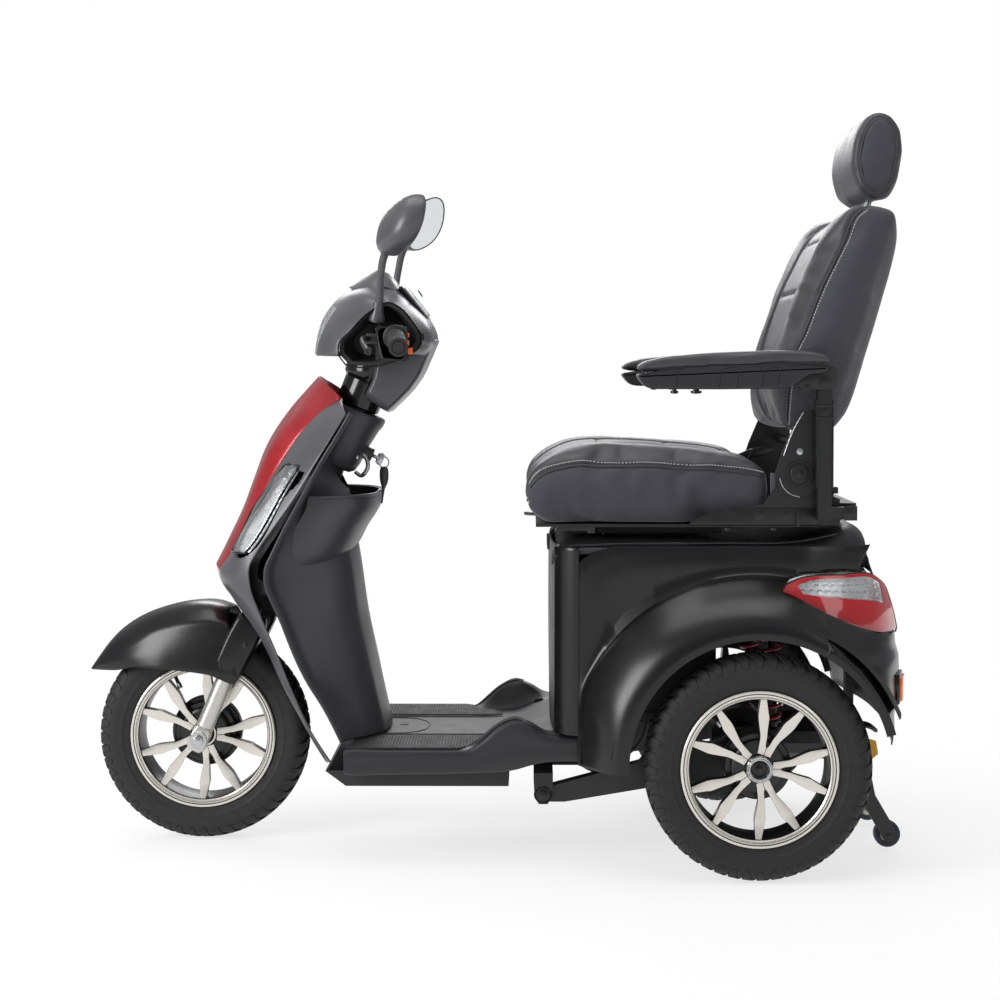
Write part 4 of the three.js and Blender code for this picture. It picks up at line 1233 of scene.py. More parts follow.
class SCOOTER_OT_mudguard(bpy.types.Operator):
    """The front mudguard, with a shroud round each fork leg"""

    bl_idname = "scooter.mudguard"
    bl_label = "Front mudguard"

    def execute(self, context):
        paint = finish_of("rear_paint")
        arch = panel(
            "front_mudguard", [both_sides(s) for s in FENDER], tuple(FRONT_AXLE), 3.2, (5, 5), ((), (2, 6)), 1.2
        )
        dress(arch, "steering", paint, "body_grey", ["front_fender"], 38)
        for name, side in SIDES:
            rings = []
            for t, fore, aft, y0, y1 in (
                (126, 27, -24, 47, 97), (150, 28, -27, 46, 99), (190, 28, -31, 46, 98), (225, 26, -34, 46, 95),
                (250, 22, -33, 47, 90), (262, 16, -28, 50, 82)
            ):
                corner = 9
                ring = []
                for cx, cy, start in (
                    (fore - corner, y1 - corner, 0), (aft + corner, y1 - corner, 90),
                    (aft + corner, y0 + corner, 180), (fore - corner, y0 + corner, 270)
                ):
                    for k in range(5):
                        a = math.radians(start + k * 22.5)
                        ring.append(
                            on_leg(t, side * (cy + corner * math.sin(a))) - BEHIND_FORK * (cx + corner * math.cos(a))
                        )
                rings.append(ring)
            shroud = skinned("fork_shroud_" + name, surface(rings, 4, 2, closed=True))
            hollow = pin("hollow", on_leg(100, side * (LEG_Y + 2)), on_leg(180, side * (LEG_Y + 2)), 21, 32)
            carve(shroud, hollow)
            rounded(shroud, 1.2, 2, 60)
            dress(shroud, "steering", paint, "body_grey", smooth=38)
            screws = named(
                joined(
                    *[
                        bolt("fender_screw", on_leg(t, side * 97.5) - BEHIND_FORK * f, (0, side, 0), 4.2, 2.6)
                        for t, f in ((150, 14), (205, -14))
                    ]
                ),
                "mudguard_screws_" + name
            )
            dress(screws, "steering", "frame_coat", "frame_paint")
        return {"FINISHED"}


# The painted front cover from its top down: middle, flank and edge.
COVER = [
    [(330, 0, 900), (322, 34, 893), (303, 68, 879), (277, 98, 858)],
    [(352, 0, 876), (346, 34, 867), (332, 70, 850), (318, 103, 830)],
    [(385, 0, 838), (380, 36, 831), (366, 76, 822), (341, 107, 806)],
    [(431, 0, 768), (427, 37, 761), (415, 78, 756), (388, 109, 742)],
    [(457, 0, 702), (453, 37, 697), (444, 78, 693), (424, 109, 681)],
    [(478, 0, 645), (475, 37, 641), (468, 78, 634), (455, 108, 622)],
    [(504, 0, 590), (502, 36, 586), (496, 76, 577), (486, 106, 563)],
    [(527, 0, 541), (526, 34, 540), (519, 72, 537), (508, 103, 532)],
    [(516, 0, 508), (516, 32, 507), (510, 70, 505), (500, 101, 502)],
    [(503, 0, 486), (503, 30, 486), (498, 66, 485), (488, 97, 484)],
]
# The side panels: the edge on the cover, two lines across the side, and the rear edge.
FLANK = [
    [(276, 99, 858), (272, 132, 850), (266, 170, 840), (260, 196, 832)],
    [(319, 104, 830), (308, 140, 820), (292, 176, 808), (279, 199, 800)],
    [(343, 108, 806), (336, 146, 786), (324, 180, 764), (312, 202, 746)],
    [(389, 110, 742), (383, 150, 724), (370, 184, 700), (352, 204, 678)],
    [(425, 110, 681), (423, 151, 664), (411, 185, 642), (391, 204, 622)],
    [(456, 109, 622), (456, 150, 612), (446, 184, 598), (420, 204, 580)],
    [(487, 107, 563), (484, 147, 558), (468, 182, 553), (437, 204, 549)],
    [(509, 104, 531), (498, 144, 522), (474, 180, 515), (436, 204, 512)],
    [(488, 98, 484), (474, 140, 480), (452, 176, 476), (421, 203, 466)],
    [(430, 112, 412), (424, 146, 406), (410, 178, 402), (392, 202, 396)],
    [(386, 132, 326), (384, 152, 322), (374, 180, 320), (360, 201, 316)],
    [(343, 148, 242), (340, 158, 242), (334, 182, 243), (327, 200, 244)],
    [(304, 152, 178), (302, 162, 179), (297, 182, 182), (290, 198, 186)],
]
# The lamp on each side panel, front edge and rear edge from the top down.
LAMP_EDGES = [[(374, 734), (350, 732)], [(394, 714), (362, 712)], [(411, 694), (376, 688)], [(429, 668), (394, 654)],
              [(446, 639), (412, 620)], [(461, 607), (430, 592)], [(474, 573), (444, 575)]]


def flank_y(x, z):
    """Half width of the side panel at a place on its side."""
    grid = surface(FLANK, 4, 4)
    flat = grid.reshape(-1, 3)
    near = np.argsort((flat[:, 0] - x) ** 2 + (flat[:, 2] - z) ** 2)[:4]
    weight = 1 / ((flat[near, 0] - x) ** 2 + (flat[near, 2] - z) ** 2 + 4)
    return float((flat[near, 1] * weight).sum() / weight.sum())


class SCOOTER_OT_front_body(bpy.types.Operator):
    """The painted front cover, the side panels and the lamps in them"""

    bl_idname = "scooter.front_body"
    bl_label = "Front body"

    def execute(self, context):
        cover = panel(
            "front_cover_paint", [both_sides(r) for r in COVER], (200, 0, 500), 2.2, steps=(5, 5), sharp=((7,), ()),
            edge=1.0
        )
        dress(cover, "chassis", "cover_paint", "body_red", ["front_cover"], 35)
        lamp_rows = []
        for (fx, fz), (rx, rz) in LAMP_EDGES:
            steps = [(fx + (rx - fx) * s, fz + (rz - fz) * s) for s in (0, 0.33, 0.67, 1)]
            lamp_rows.append([(x, flank_y(x, z), z) for x, z in steps])
        lamp = np.array(lamp_rows, float)
        middle = lamp.reshape(-1, 3).mean(0)
        for name, side in SIDES:
            flank = panel("flank_" + name, [on_side(r, side) for r in FLANK], IN_FRONT_BODY, steps=(5, 5), edge=1.4)
            grown = middle + (lamp - middle) * (1.05, 1, 1.02)
            grown = grown * (1, side, 1)
            hole = panel("hole", [r + (6, side * 30, 3) for r in grown], IN_FRONT_BODY, 70, (2, 2), edge=0)
            carve(flank, hole)
            dress(flank, "chassis", "body_paint", "body_grey", ["side_panel_" + name], 35)
            # The dark liner behind the side panel is painted shade, seen through the lamp opening.
            liner = panel(
                "flank_liner_" + name,
                [on_side([(x - 14, y - 16, z) for x, y, z in r[1:]], side) for r in FLANK[1:9]], IN_FRONT_BODY, 2,
                (3, 3), edge=0
            )
            dress(liner, "chassis", "dark_recess", "body_black", smooth=50)
            inner = (middle + (lamp - middle) * 0.99) * (1, side, 1)
            bowl = panel("lamp_bowl_" + name, [r - (4, side * 9, 2) for r in inner], IN_FRONT_BODY, 2, (3, 3), edge=0)
            rims = rod(
                "lamp_bezel_" + name,
                [tuple(p) for p in np.vstack([grown[:, 0], grown[-1, 1:], grown[::-1, -1], grown[0, -2:0:-1]])] , 2.0,
                3, 3, False, True
            )
            ribs = []
            for k in range(1, 18):
                share = k / 18 * (len(inner) - 1)
                i = min(int(share), len(inner) - 2)
                a, b = (inner[i, c] * (1 - share + i) + inner[i + 1, c] * (share - i) for c in (0, -1))
                ribs.append(
                    rod(
                        "rib", [a - (6, side * 5, 3), (a + b) / 2 - (6, side * 3.6, 3), b - (4, side * 5, 2)], 1.7, 3,
                        2
                    )
                )
            leds = []
            for k in range(7):
                share = (k + 0.5) / 7 * (len(inner) - 1)
                i = min(int(share), len(inner) - 2)
                a, b = (inner[i, c] * (1 - share + i) + inner[i + 1, c] * (share - i) for c in (0, -1))
                at = a * 0.38 + b * 0.62 - (4, side * 8, 2)
                leds.append(
                    turned(
                        "led", [(2.2, 0), (2.6, 3), (6.0, 5.2), (6.6, 4.8), (3.4, -1)], at, (0.45, side * 0.85, 0.28),
                        18
                    )
                )
            lights = named(joined(bowl, *ribs, *leds), "lamp_reflector_" + name)
            dress(lights, "chassis", "lamp_bowl", "clear_lens", smooth=30)
            dress(rims, "chassis", "gloss_trim", "body_black")
            lens = panel(
                "lamp_lens_" + name, [r + (1, side * 1.4, 0.6) for r in inner], IN_FRONT_BODY, 1.6, (3, 3), edge=0.6
            )
            dress(lens, "chassis", "clear_lens", "clear_lens", ["lamp_strip_" + name], 35)
        return {"FINISHED"}


# The leg shield from the top down: ridge, pocket, inner corner, face, lip and rim edge.
SHIELD = [
    [
        (284, 0, 826), (284, 52, 826), (284, 84, 826), (266, 168, 826), (252, 182, 828), (247, 193, 831),
        (252, 199, 833)
    ],
    [
        (316, 0, 788), (326, 52, 788), (336, 84, 788), (302, 168, 789), (276, 182, 790), (269, 194, 791),
        (275, 201, 792)
    ],
    [
        (290, 0, 740), (310, 52, 740), (322, 84, 740), (322, 168, 741), (306, 182, 742), (298, 195, 743),
        (305, 203, 744)
    ],
    [
        (276, 0, 690), (288, 52, 690), (300, 84, 690), (336, 168, 691), (330, 182, 691), (325, 196, 692),
        (333, 204, 693)
    ],
    [
        (256, 0, 579), (262, 52, 579), (270, 84, 579), (370, 168, 579), (384, 182, 579), (385, 196, 579),
        (393, 205, 579)
    ],
    [
        (250, 0, 541), (255, 52, 541), (262, 84, 541), (384, 168, 541), (398, 182, 541), (401, 196, 541),
        (409, 205, 541)
    ],
    [
        (236, 0, 443), (241, 52, 443), (248, 84, 443), (348, 168, 443), (366, 182, 443), (370, 196, 443),
        (378, 204, 443)
    ],
    [
        (216, 0, 345), (220, 52, 345), (226, 84, 345), (310, 166, 345), (326, 181, 345), (330, 195, 345),
        (337, 202, 345)
    ],
    [
        (204, 0, 283), (207, 52, 283), (212, 84, 283), (288, 164, 283), (292, 180, 283), (293, 194, 283),
        (300, 200, 283)
    ],
    [
        (190, 0, 222), (193, 52, 222), (198, 84, 222), (254, 160, 222), (262, 176, 222), (264, 190, 222),
        (270, 196, 222)
    ]
]
# Level rings of the storage bin from its rim down: height, front, rear and half width.
BIN = [
    (676, 332, 213, 166), (650, 338, 213, 167), (630, 350, 223, 167), (606, 364, 239, 166), (582, 380, 251, 163),
    (560, 392, 266, 157), (543, 398, 290, 149), (531, 396, 318, 138), (524, 386, 345, 118)
]


class SCOOTER_OT_leg_shield(bpy.types.Operator):
    """The leg shield with its rim, the storage bin, the column cover and the bag hook"""

    bl_idname = "scooter.leg_shield"
    bl_label = "Leg shield"

    def execute(self, context):
        shield = panel("leg_shield_moulding", [both_sides(r) for r in SHIELD], (500, 0, 400), steps=(5, 4), edge=1.2)
        carve(shield, pin("stem_way", on_stem(500), on_stem(720), 46, 40))
        dress(shield, "chassis", "shield_plastic", "body_black", ["leg_shield"], 35)

        def ring(z, front, rear, half, wall=0.0):
            turn = np.radians(np.linspace(0, 90, 13))
            x = front - (front - rear - wall) * np.sin(turn) ** 0.78
            quarter = np.stack([x, (half - wall) * np.cos(turn) ** 0.62, np.full(13, float(z))], 1)
            quarter[-1, 1] = 0
            return np.vstack([quarter, (quarter * (1, -1, 1))[-2::-1]])

        outer = [ring(*row) for row in BIN[::-1]]
        inner = [ring(z, f, r, h, w) for (z, f, r, h), w in zip(BIN[:-2], (5, 6, 7, 8, 9, 10, 12))]
        wall = np.array(outer + inner)
        rows = spline(wall.reshape(len(wall), -1), 4, sharp=(len(BIN) - 1, len(BIN))).reshape(-1, *wall.shape[1:])
        bin_wall = facing_out(sheet("storage_bin", rows), (300, 0, 600))
        lip = rod("bin_lip", [tuple(p) for p in ring(675, 334, 212, 167.5)[1:-1]], 3.0, 2, 4, False)
        whole = joined(bin_wall, lip)
        dress(whole, "chassis", "shield_plastic", "body_black", smooth=40)

        sleeve = turned(
            "column_gaiter",
            [
                (36, 578), (44, 584), (48.5, 600), (52, 640), (57.5, 672), (61.5, 684), (62, 694), (59.5, 698),
                (43, 698)
            ],
            on_stem(0), UP_FORK, 64
        )
        lock_at = on_stem(625) + BEHIND_FORK * 48
        lock = turned(
            "ignition_lock", [(5, 8), (5, 17), (11.5, 17), (13, 15.5), (13, -6), (5, -6)], lock_at, BEHIND_FORK, 40
        )
        cover = named(joined(sleeve, lock), "column_cover_moulding")
        dress(cover, "chassis", "shield_plastic", "body_black", ["column_cover"], 35)
        hook_top = np.array([246, 0, 742])
        hook = joined(
            rod(
                "bag_hook",
                [
                    hook_top + (36, 12, 12), hook_top + (10, 12, 10), hook_top + (-6, 12, 0),
                    hook_top + (-10, 12, -22), hook_top + (2, 12, -36), hook_top + (14, 12, -28)
                ],
                4.2, 6, 4
            ),
            block("hook_plate", (252, -6, 738), (284, 30, 774), 3)
        )
        named(hook, "bag_hook")
        dress(hook, "chassis", "chrome", "fork_alloy")
        return {"FINISHED"}


# Stations round the head of the steering column: middle, shoulder, side and the edge of the side opening.
HEAD = [
    [(335, 0, 938), (329, 62, 938), (316, 122, 938), (276, 157, 937)],
    [(332, 0, 966), (325, 62, 966), (310, 124, 964), (275, 158, 961)],
    [(318, 0, 1012), (310, 62, 1009), (285, 130, 998), (256, 158, 981)],
    [(292, 0, 1049), (284, 62, 1043), (255, 128, 1026), (229, 157, 1010)],
    [(262, 0, 1068), (256, 62, 1062), (229, 122, 1049), (202, 155, 1029)],
    [(218, 0, 1078), (214, 62, 1072), (200, 118, 1050), (184, 151, 1037)],
    [(186, 0, 1074), (183, 62, 1066), (172, 116, 1044), (169, 148, 1031)],
    [(146, 0, 1040), (144, 62, 1034), (134, 114, 1014), (138, 147, 1000)],
    [(106, 0, 992), (107, 62, 989), (110, 112, 981), (122, 145, 968)],
    [(101, 0, 968), (102, 62, 967), (108, 110, 962), (128, 142, 952)],
    [(118, 0, 934), (119, 60, 935), (126, 104, 938), (144, 138, 940)],
]
GRIP_IN, GRIP_OUT = np.array([168.0, 200, 973]), np.array([153.0, 322, 951])


def along_grip(t, side):
    return (GRIP_IN + (GRIP_OUT - GRIP_IN) * t) * (1, side, 1)


class SCOOTER_OT_head(bpy.types.Operator):
    """The head of the steering column: cowl, visor, headlight, display and neck"""

    bl_idname = "scooter.head"
    bl_label = "Column head"

    def execute(self, context):
        paint, dull = finish_of("body_paint"), finish_of("dark_recess")
        shell = panel("cowl_shell", [both_sides(s) for s in HEAD], (205, 0, 990), 3.0, (5, 5), edge=1.3)
        lens_rows = [
            [(339, 0, 940), (334, 52, 941), (321, 98, 942)], [(336, 0, 968), (330, 52, 968), (315, 100, 968)],
            [(323, 0, 1012), (315, 52, 1010), (299, 100, 1002)], [(298, 0, 1046), (291, 50, 1042), (275, 90, 1031)]
        ]
        lens = np.array([both_sides(r) for r in lens_rows], float)
        carve(
            shell,
            panel(
                "hole", [r * (1, 1.0, 1) + (-8, 0, 0) for r in lens + (0, 0, 0)], IN_HEAD, 40, (3, 3), edge=0,
                grid=surface(lens + (14, 0, 0), 3, 3)
            )
        )
        dress(shell, "steering", paint, "body_grey", ["cowl"], 35)
        glass = panel(
            "headlight_glass", None, IN_HEAD, 2.0, edge=0.8,
            grid=surface((lens - LAMP_MIDDLE) * 0.985 + LAMP_MIDDLE, 6, 6)
        )
        dress(glass, "steering", "clear_lens", "clear_lens", ["headlight_lens"], 35)
        bowl = panel(
            "headlight_bowl", None, IN_HEAD, 2.0, edge=0,
            grid=surface((lens - LAMP_MIDDLE) * (0.9, 0.95, 0.96) + (193, 0, 990), 6, 6)
        )
        lamps = []
        for y, r in ((-62, 22), (-20, 17), (20, 17), (62, 22)):
            at = np.array([318 - abs(y) * 0.16, y, 968.0])
            lamps.append(
                turned(
                    "reflector",
                    [(3, -6), (r * 0.5, -3), (r * 0.86, 5), (r, 12), (r + 1.6, 12), (r + 1.6, -8), (3, -8)],
                    at + (-8, 0, 4), (0.97, 0, 0.2), 32
                )
            )
        lights = named(joined(bowl, *lamps), "headlight_reflectors")
        dress(lights, "steering", "lamp_bowl", "clear_lens", smooth=35)

        # A dull black liner, a sheet of painted shade, closes the side openings, with the bar's hole left in it.
        liner_rings = []
        for share, y in ((0.97, -152), (0.9, -126), (0.84, -96), (0.82, 0), (0.84, 96), (0.9, 126), (0.97, 152)):
            liner_rings.append([(205 + (s[3][0] - 205) * share, y, 985 + (s[3][2] - 985) * share) for s in HEAD])
        liner = skinned("cowl_liner", surface(liner_rings, 3, 4, closed=True))
        for side in (1, -1):
            inset = [
                [(204 + (s[3][0] - 204) * k, side * y, 984 + (s[3][2] - 984) * k) for s in HEAD]
                for k, y in ((0.9, 170), (0.84, 140), (0.74, 118), (0.66, 106))
            ]
            carve(liner, skinned("pocket", surface(inset, 3, 4, closed=True)))
        dress(liner, "steering", dull, "body_black", smooth=40)
        for name, side in SIDES:
            lip = rod(
                "cowl_lip_" + name, [(x, side * (y + 0.4), z) for x, y, z in (s[3] for s in HEAD)], 1.5, 5, 3, True,
                True
            )
            collar = turned(
                "bar_collar_" + name, [(13, 92), (28, 94), (33, 104), (34, 116), (30, 118), (27, 108), (13, 104)],
                (186, 0, 976), (0, side, 0), 32
            )
            wires = [
                rod(
                    "cable",
                    [
                        (224, side * 108, 1004 + k), (206, side * (124 + k), 996 + k), (190, side * 142, 972 - k),
                        (178, side * 168, 960 - k)
                    ],
                    2.6, 5, 3
                )
                for k in (0, 7, -6)
            ]
            dress(lip, "steering", "gloss_trim", "body_black")
            inner = named(joined(collar, *wires), "bar_cables_" + name)
            dress(inner, "steering", "rubber", "soft_rubber", smooth=40)

        # The visor stands over the headlight and carries the display behind it.
        visor_rows = [
            [(272, 0, 1072), (268, 30, 1069), (256, 56, 1062), (240, 74, 1052)],
            [(246, 0, 1090), (242, 30, 1087), (232, 58, 1078), (220, 80, 1062)],
            [(216, 0, 1108), (213, 30, 1105), (206, 56, 1092), (200, 80, 1070)],
            [(192, 0, 1095), (190, 30, 1092), (186, 52, 1082), (184, 74, 1064)],
            [(172, 0, 1069), (171, 30, 1067), (169, 48, 1062), (168, 64, 1052)],
        ]
        visor = panel("visor", [both_sides(r) for r in visor_rows], (205, 0, 1020), 3.0, (5, 5), ((2,), ()), 1.2)
        dress(visor, "steering", paint, "body_grey", smooth=40)
        slope = math.degrees(math.atan2(1068 - 1003, 172 - 120))
        screen = block(
            "display_window", (146 - 2.5, -50, 1036 - 34), (146 + 2.5, 50, 1036 + 34), 2.2, 3, ((0, 1, 0), 90 - slope)
        )
        screen.data.transform(Matrix.Translation((-0.0065, 0, 0.0065)))
        dress(screen, "steering", "screen", "clear_lens")
        bezel = block(
            "display_bezel", (146 - 4, -58, 1036 - 41), (146 + 4, 58, 1036 + 41), 3, 3, ((0, 1, 0), 90 - slope)
        )
        bezel.data.transform(Matrix.Translation((-0.002, 0, 0.002)))
        dress(bezel, "steering", "gloss_trim", "body_black")
        bars = named(
            joined(
                *[
                    block(
                        "gauge_bar", (140.6, -34 + k * 12, 1046), (142.6, -26 + k * 12, 1050 + k * 1.6), 0.4, 1,
                        ((0, 1, 0), 90 - slope)
                    )
                    for k in range(6)
                ]
            ),
            "charge_gauge"
        )
        bars.data.transform(Matrix.Translation((-0.009, 0, 0.007)))
        dress(bars, "steering", "gloss_trim", "body_black")

        # The dash's back cover, narrowing down the column.
        back = [
            [
                (101, 0, 966), (116, 0, 930), (132, 0, 896), (191, 0, 831), (202, 0, 836), (236, 0, 862),
                (222, 0, 892), (210, 0, 938), (200, 0, 950)
            ]
        ]
        widths = ((-84, 0.82), (-76, 0.95), (-62, 1.0), (0, 1.02), (62, 1.0), (76, 0.95), (84, 0.82))
        middle = np.array(back[0], float).mean(0)
        rings = [[tuple((np.array(p) - middle) * share + middle + (0, y, 0)) for p in back[0]] for y, share in widths]
        dash = skinned("dash_back_cover", surface(rings, 3, 3, (), (0, 3, 5, 8), closed=True))
        rounded(dash, 2.0, 2, 40)
        dress(dash, "steering", paint, "body_grey", smooth=35)
        neck = turned(
            "column_neck",
            [(20, 604), (36, 604), (37, 700), (43, 704), (44, 752), (50, 760), (52, 774), (52, 792), (20, 792)],
            on_stem(0), UP_FORK, 56
        )
        dress(neck, "steering", "gloss_trim", "body_black", smooth=35)
        # The socket is a dark block: painted shade standing for its opening.
        port = block("dash_socket", (118, 137, 966), (131, 142, 979), 1.2)
        dress(port, "steering", dull, "body_black")
        return {"FINISHED"}


class SCOOTER_OT_controls(bpy.types.Operator):
    """Grips, switch pods, brake lever perches and the mirrors"""

    bl_idname = "scooter.controls"
    bl_label = "Controls"

    def execute(self, context):
        sizes = context.scene.scooter_sizes
        rubber = finish_of("rubber")
        for name, side in SIDES:
            start, end = along_grip(0.07, side), along_grip(1, side)
            reach = float(np.linalg.norm(end - start))
            pitch = sizes.grip_rib * 1000
            profile = [(11.8, 0), (21.5, 0), (23, 1.4), (23, 5.4), (21.5, 7), (17.2, 8)]
            at = 13.0
            while at < reach - 12:
                profile += [(16.2, at), (17.3, at + 1.0), (17.3, at + pitch - 2.4), (16.2, at + pitch - 1.4)]
                at += pitch
            profile += [(17.2, reach - 7), (17.6, reach - 2), (16.4, reach), (11.8, reach)]
            grip = turned("grip_rubber_" + name, profile, start, end - start, 40)
            node, body = ("grip_left", "steering") if side > 0 else ("throttle_grip", "throttle")
            dress(grip, body, rubber, "soft_rubber", [node], 40)
            y0, y1 = span(side, 171, 198)
            pod = plate(
                "switch_pod_" + name,
                [
                    (146, 942), (150, 932), (158, 927), (190, 930), (197, 938), (203, 980), (198, 990), (152, 993),
                    (147, 985)
                ],
                y0, y1, 3.0, 3
            )
            carve(pod, pin("bore", (152, side * 184, 945), (136, side * 184, 945), 7.4, 24))
            parts = [pod, block("perch_" + name, *sided(side, (196, 174, 958), (222, 196, 978)), 3)]
            parts.append(block("pod_seam_" + name, (144.5, y0 + 12.6, 930), (205, y0 + 13.6, 990), 0))
            parts += [
                bolt("pod_screw", (203, side * 184.5, 985 - 46 * k), (1, 0, -0.1), 3.4, 2.5, False)
                for k in (0,)
            ]
            pod = named(joined(*parts), "switch_pod_" + name)
            dress(pod, "steering", "trim", "frame_paint", smooth=35)
            keys = joined(block("rocker", *sided(side, (143.4, 176, 956), (150, 193, 966)), 1.6, 2),
                          block("rocker", *sided(side, (143.2, 177, 971), (150, 192, 979)), 1.6, 2))
            named(keys, "rocker_switches_" + name)
            dress(
                keys, "steering", "orange" if side > 0 else "yellow",
                "orange_plastic" if side > 0 else "yellow_plastic"
            )
        for name, side in SIDES:
            path = [
                (214, side * 186, 968), (224, side * 214, 968), (222, side * 256, 961), (212, side * 300, 950),
                (206, side * 324, 945)
            ]
            lever = rod("brake_blade_" + name, path, 5.4, 6, 4, taper=(1.0, 1.05, 0.95, 0.9, 0.95))
            tip = turned(
                "lever_ball_" + name, [(0.5, 4), (5, 5), (7.4, 0), (5, -6), (0.5, -6)], (205.5, side * 328, 944),
                (0, 1, 0), 20
            )
            lever = named(joined(lever, tip), "brake_blade_" + name)
            dress(lever, f"{name}_brake", "frame_coat", "frame_paint", [f"brake_lever_{name}"], 40)
        for name, side, lift, back in (("left", 1, 0, 0), ("right", -1, 34, 10)):
            def at(x, y, z, share=1.0):
                return (x - back * share, side * y, z + lift * share)

            stem = rod(
                "mirror_stem_" + name,
                [
                    at(207, 142, 1000, 0), at(204, 147, 1022, 0), at(200, 152, 1042, 0.2), at(197, 166, 1082, 0.8),
                    at(190, 180, 1118), at(176, 196, 1142)
                ],
                7.2, 6, 5, taper=(1.25, 1.1, 1.0, 0.95, 1.0, 1.1)
            )
            boot = turned(
                "mirror_boot_" + name, [(4, -6), (15, -6), (15.5, 0), (11.5, 12), (10.2, 24), (9.6, 30), (4, 30)],
                at(206, 144, 1008, 0), (-0.12, side * 0.2, 0.97), 28
            )
            joint = turned(
                "mirror_joint_" + name, [(1, -12), (8, -10), (11, 0), (10.5, 10), (6, 15), (1, 16)],
                at(184, 188, 1132), (-0.5, side * 0.4, 0.6), 28
            )
            rings = []
            egg = [(math.cos(a), math.sin(a)) for a in np.linspace(0, 2 * math.pi, 49)[:-1]]
            for depth, share in (
                (-7, 0.985), (-5, 1.0), (2, 1.0), (10, 0.985), (18, 0.94), (26, 0.85), (33, 0.7), (38, 0.5),
                (41, 0.26), (42, 0.08)
            ):
                rings.append(
                    [
                        (
                            depth, 63 * share * np.sign(c) * abs(c) ** 0.86,
                            (54 if s > 0 else 52) * share * np.sign(s) * abs(s) ** 0.86 - (1 - share) * 6
                        )
                        for c, s in egg
                    ]
                )
            shell = skinned("mirror_shell_" + name, rings)
            cup = skinned(
                "cup", [[(d, y * k, z * k) for _, y, z in rings[1]] for d, k in ((-14, 0.955), (-4.6, 0.945))]
            )
            carve(shell, cup)
            rounded(shell, 1.0, 2, 50)
            glass = skinned(
                "mirror_glass_" + name, [[(d, y * 0.942, z * 0.942) for _, y, z in rings[1]] for d in (-5.6, -4.2)]
            )
            lean = Matrix(((1, 0, -0.3, 0), (0, 1, 0, 0), (0, 0, 1, 0), (0, 0, 0, 1)))
            place = Matrix.Translation(
                Vector(at(149, 206, 1175)) / 1000
            ) @ lean @ Matrix.Rotation(side * 0.5, 4, "Z") @ Matrix.Rotation(side * 0.35, 4, "X")
            shell.data.transform(place)
            glass.data.transform(place)
            whole = named(joined(shell, stem, boot, joint), "mirror_housing_" + name)
            dress(whole, f"{name}_mirror", "body_paint", "body_black", [f"mirror_{name}"], 38)
            dress(glass, f"{name}_mirror", "mirror_glass", "clear_lens", smooth=30)
        return {"FINISHED"}


class SCOOTER_OT_key(bpy.types.Operator):
    """The key with its ring and the fob that hangs from it"""

    bl_idname = "scooter.key"
    bl_label = "Key"

    def execute(self, context):
        lock = on_stem(625) + BEHIND_FORK * 56
        out = lambda d: lock + BEHIND_FORK * d
        blade_ = pin("key_blade", out(9.4), out(21), 3.6, 20, 0.6)
        bow = plate("key_bow", [(-7, -2), (-7, 9), (0, 13), (7, 9), (7, -9), (0, -13), (-7, -9)], -1.6, 1.6, 0.8)
        bow.data.transform(Matrix.Translation(Vector(out(25)) / 1000) @ Matrix.Rotation(-RAKE, 4, "Y"))
        key = named(joined(blade_, bow), "key_steel")
        dress(key, "ignition_key", "chrome", "fork_alloy", ["key"])
        hang = out(33)
        ring = rod(
            "key_ring",
            [tuple(hang + (9 * math.sin(a), 0, -4 + 11 * math.cos(a))) for a in np.linspace(0, 2 * math.pi, 13)[:-1]],
            1.3, 4, 3, False, True
        )
        dress(ring, "fob", "chrome", "fork_alloy")
        rings = []
        for z, w, d in (
            (-12, 4, 3), (-15, 7, 5), (-24, 8.6, 6), (-36, 8.4, 6), (-46, 6.4, 5), (-54, 3.4, 3), (-66, 2.4, 2.2),
            (-84, 1.8, 1.8)
        ):
            rings.append(
                [
                    tuple(hang + (w * math.cos(a) + max(0, -z - 44) * 0.12, d * math.sin(a), z))
                    for a in np.linspace(0, 2 * math.pi, 17)[:-1]
                ]
            )
        fob = skinned("fob_leather", surface(rings, 3, 1, closed=True))
        dress(fob, "fob", "leather", "body_black", ["key_fob"], 45)
        return {"FINISHED"}


# Stations of the footboard from the front backwards: x, floor height, hump height, lower edge of the sill.
FLOOR = [
    (262, 216, 216, 170), (258, 216.5, 216.5, 169), (200, 216, 216, 169), (120, 216, 216, 170), (60, 216, 216, 171),
    (34, 216, 217, 172), (10, 216, 232, 173), (-20, 217, 257, 174), (-52, 221, 269.5, 178), (-80, 230, 262, 186),
    (-106, 238, 247, 191.5), (-130, 241, 242, 193.5), (-170, 241, 241, 194), (-204, 241, 241, 194)
]


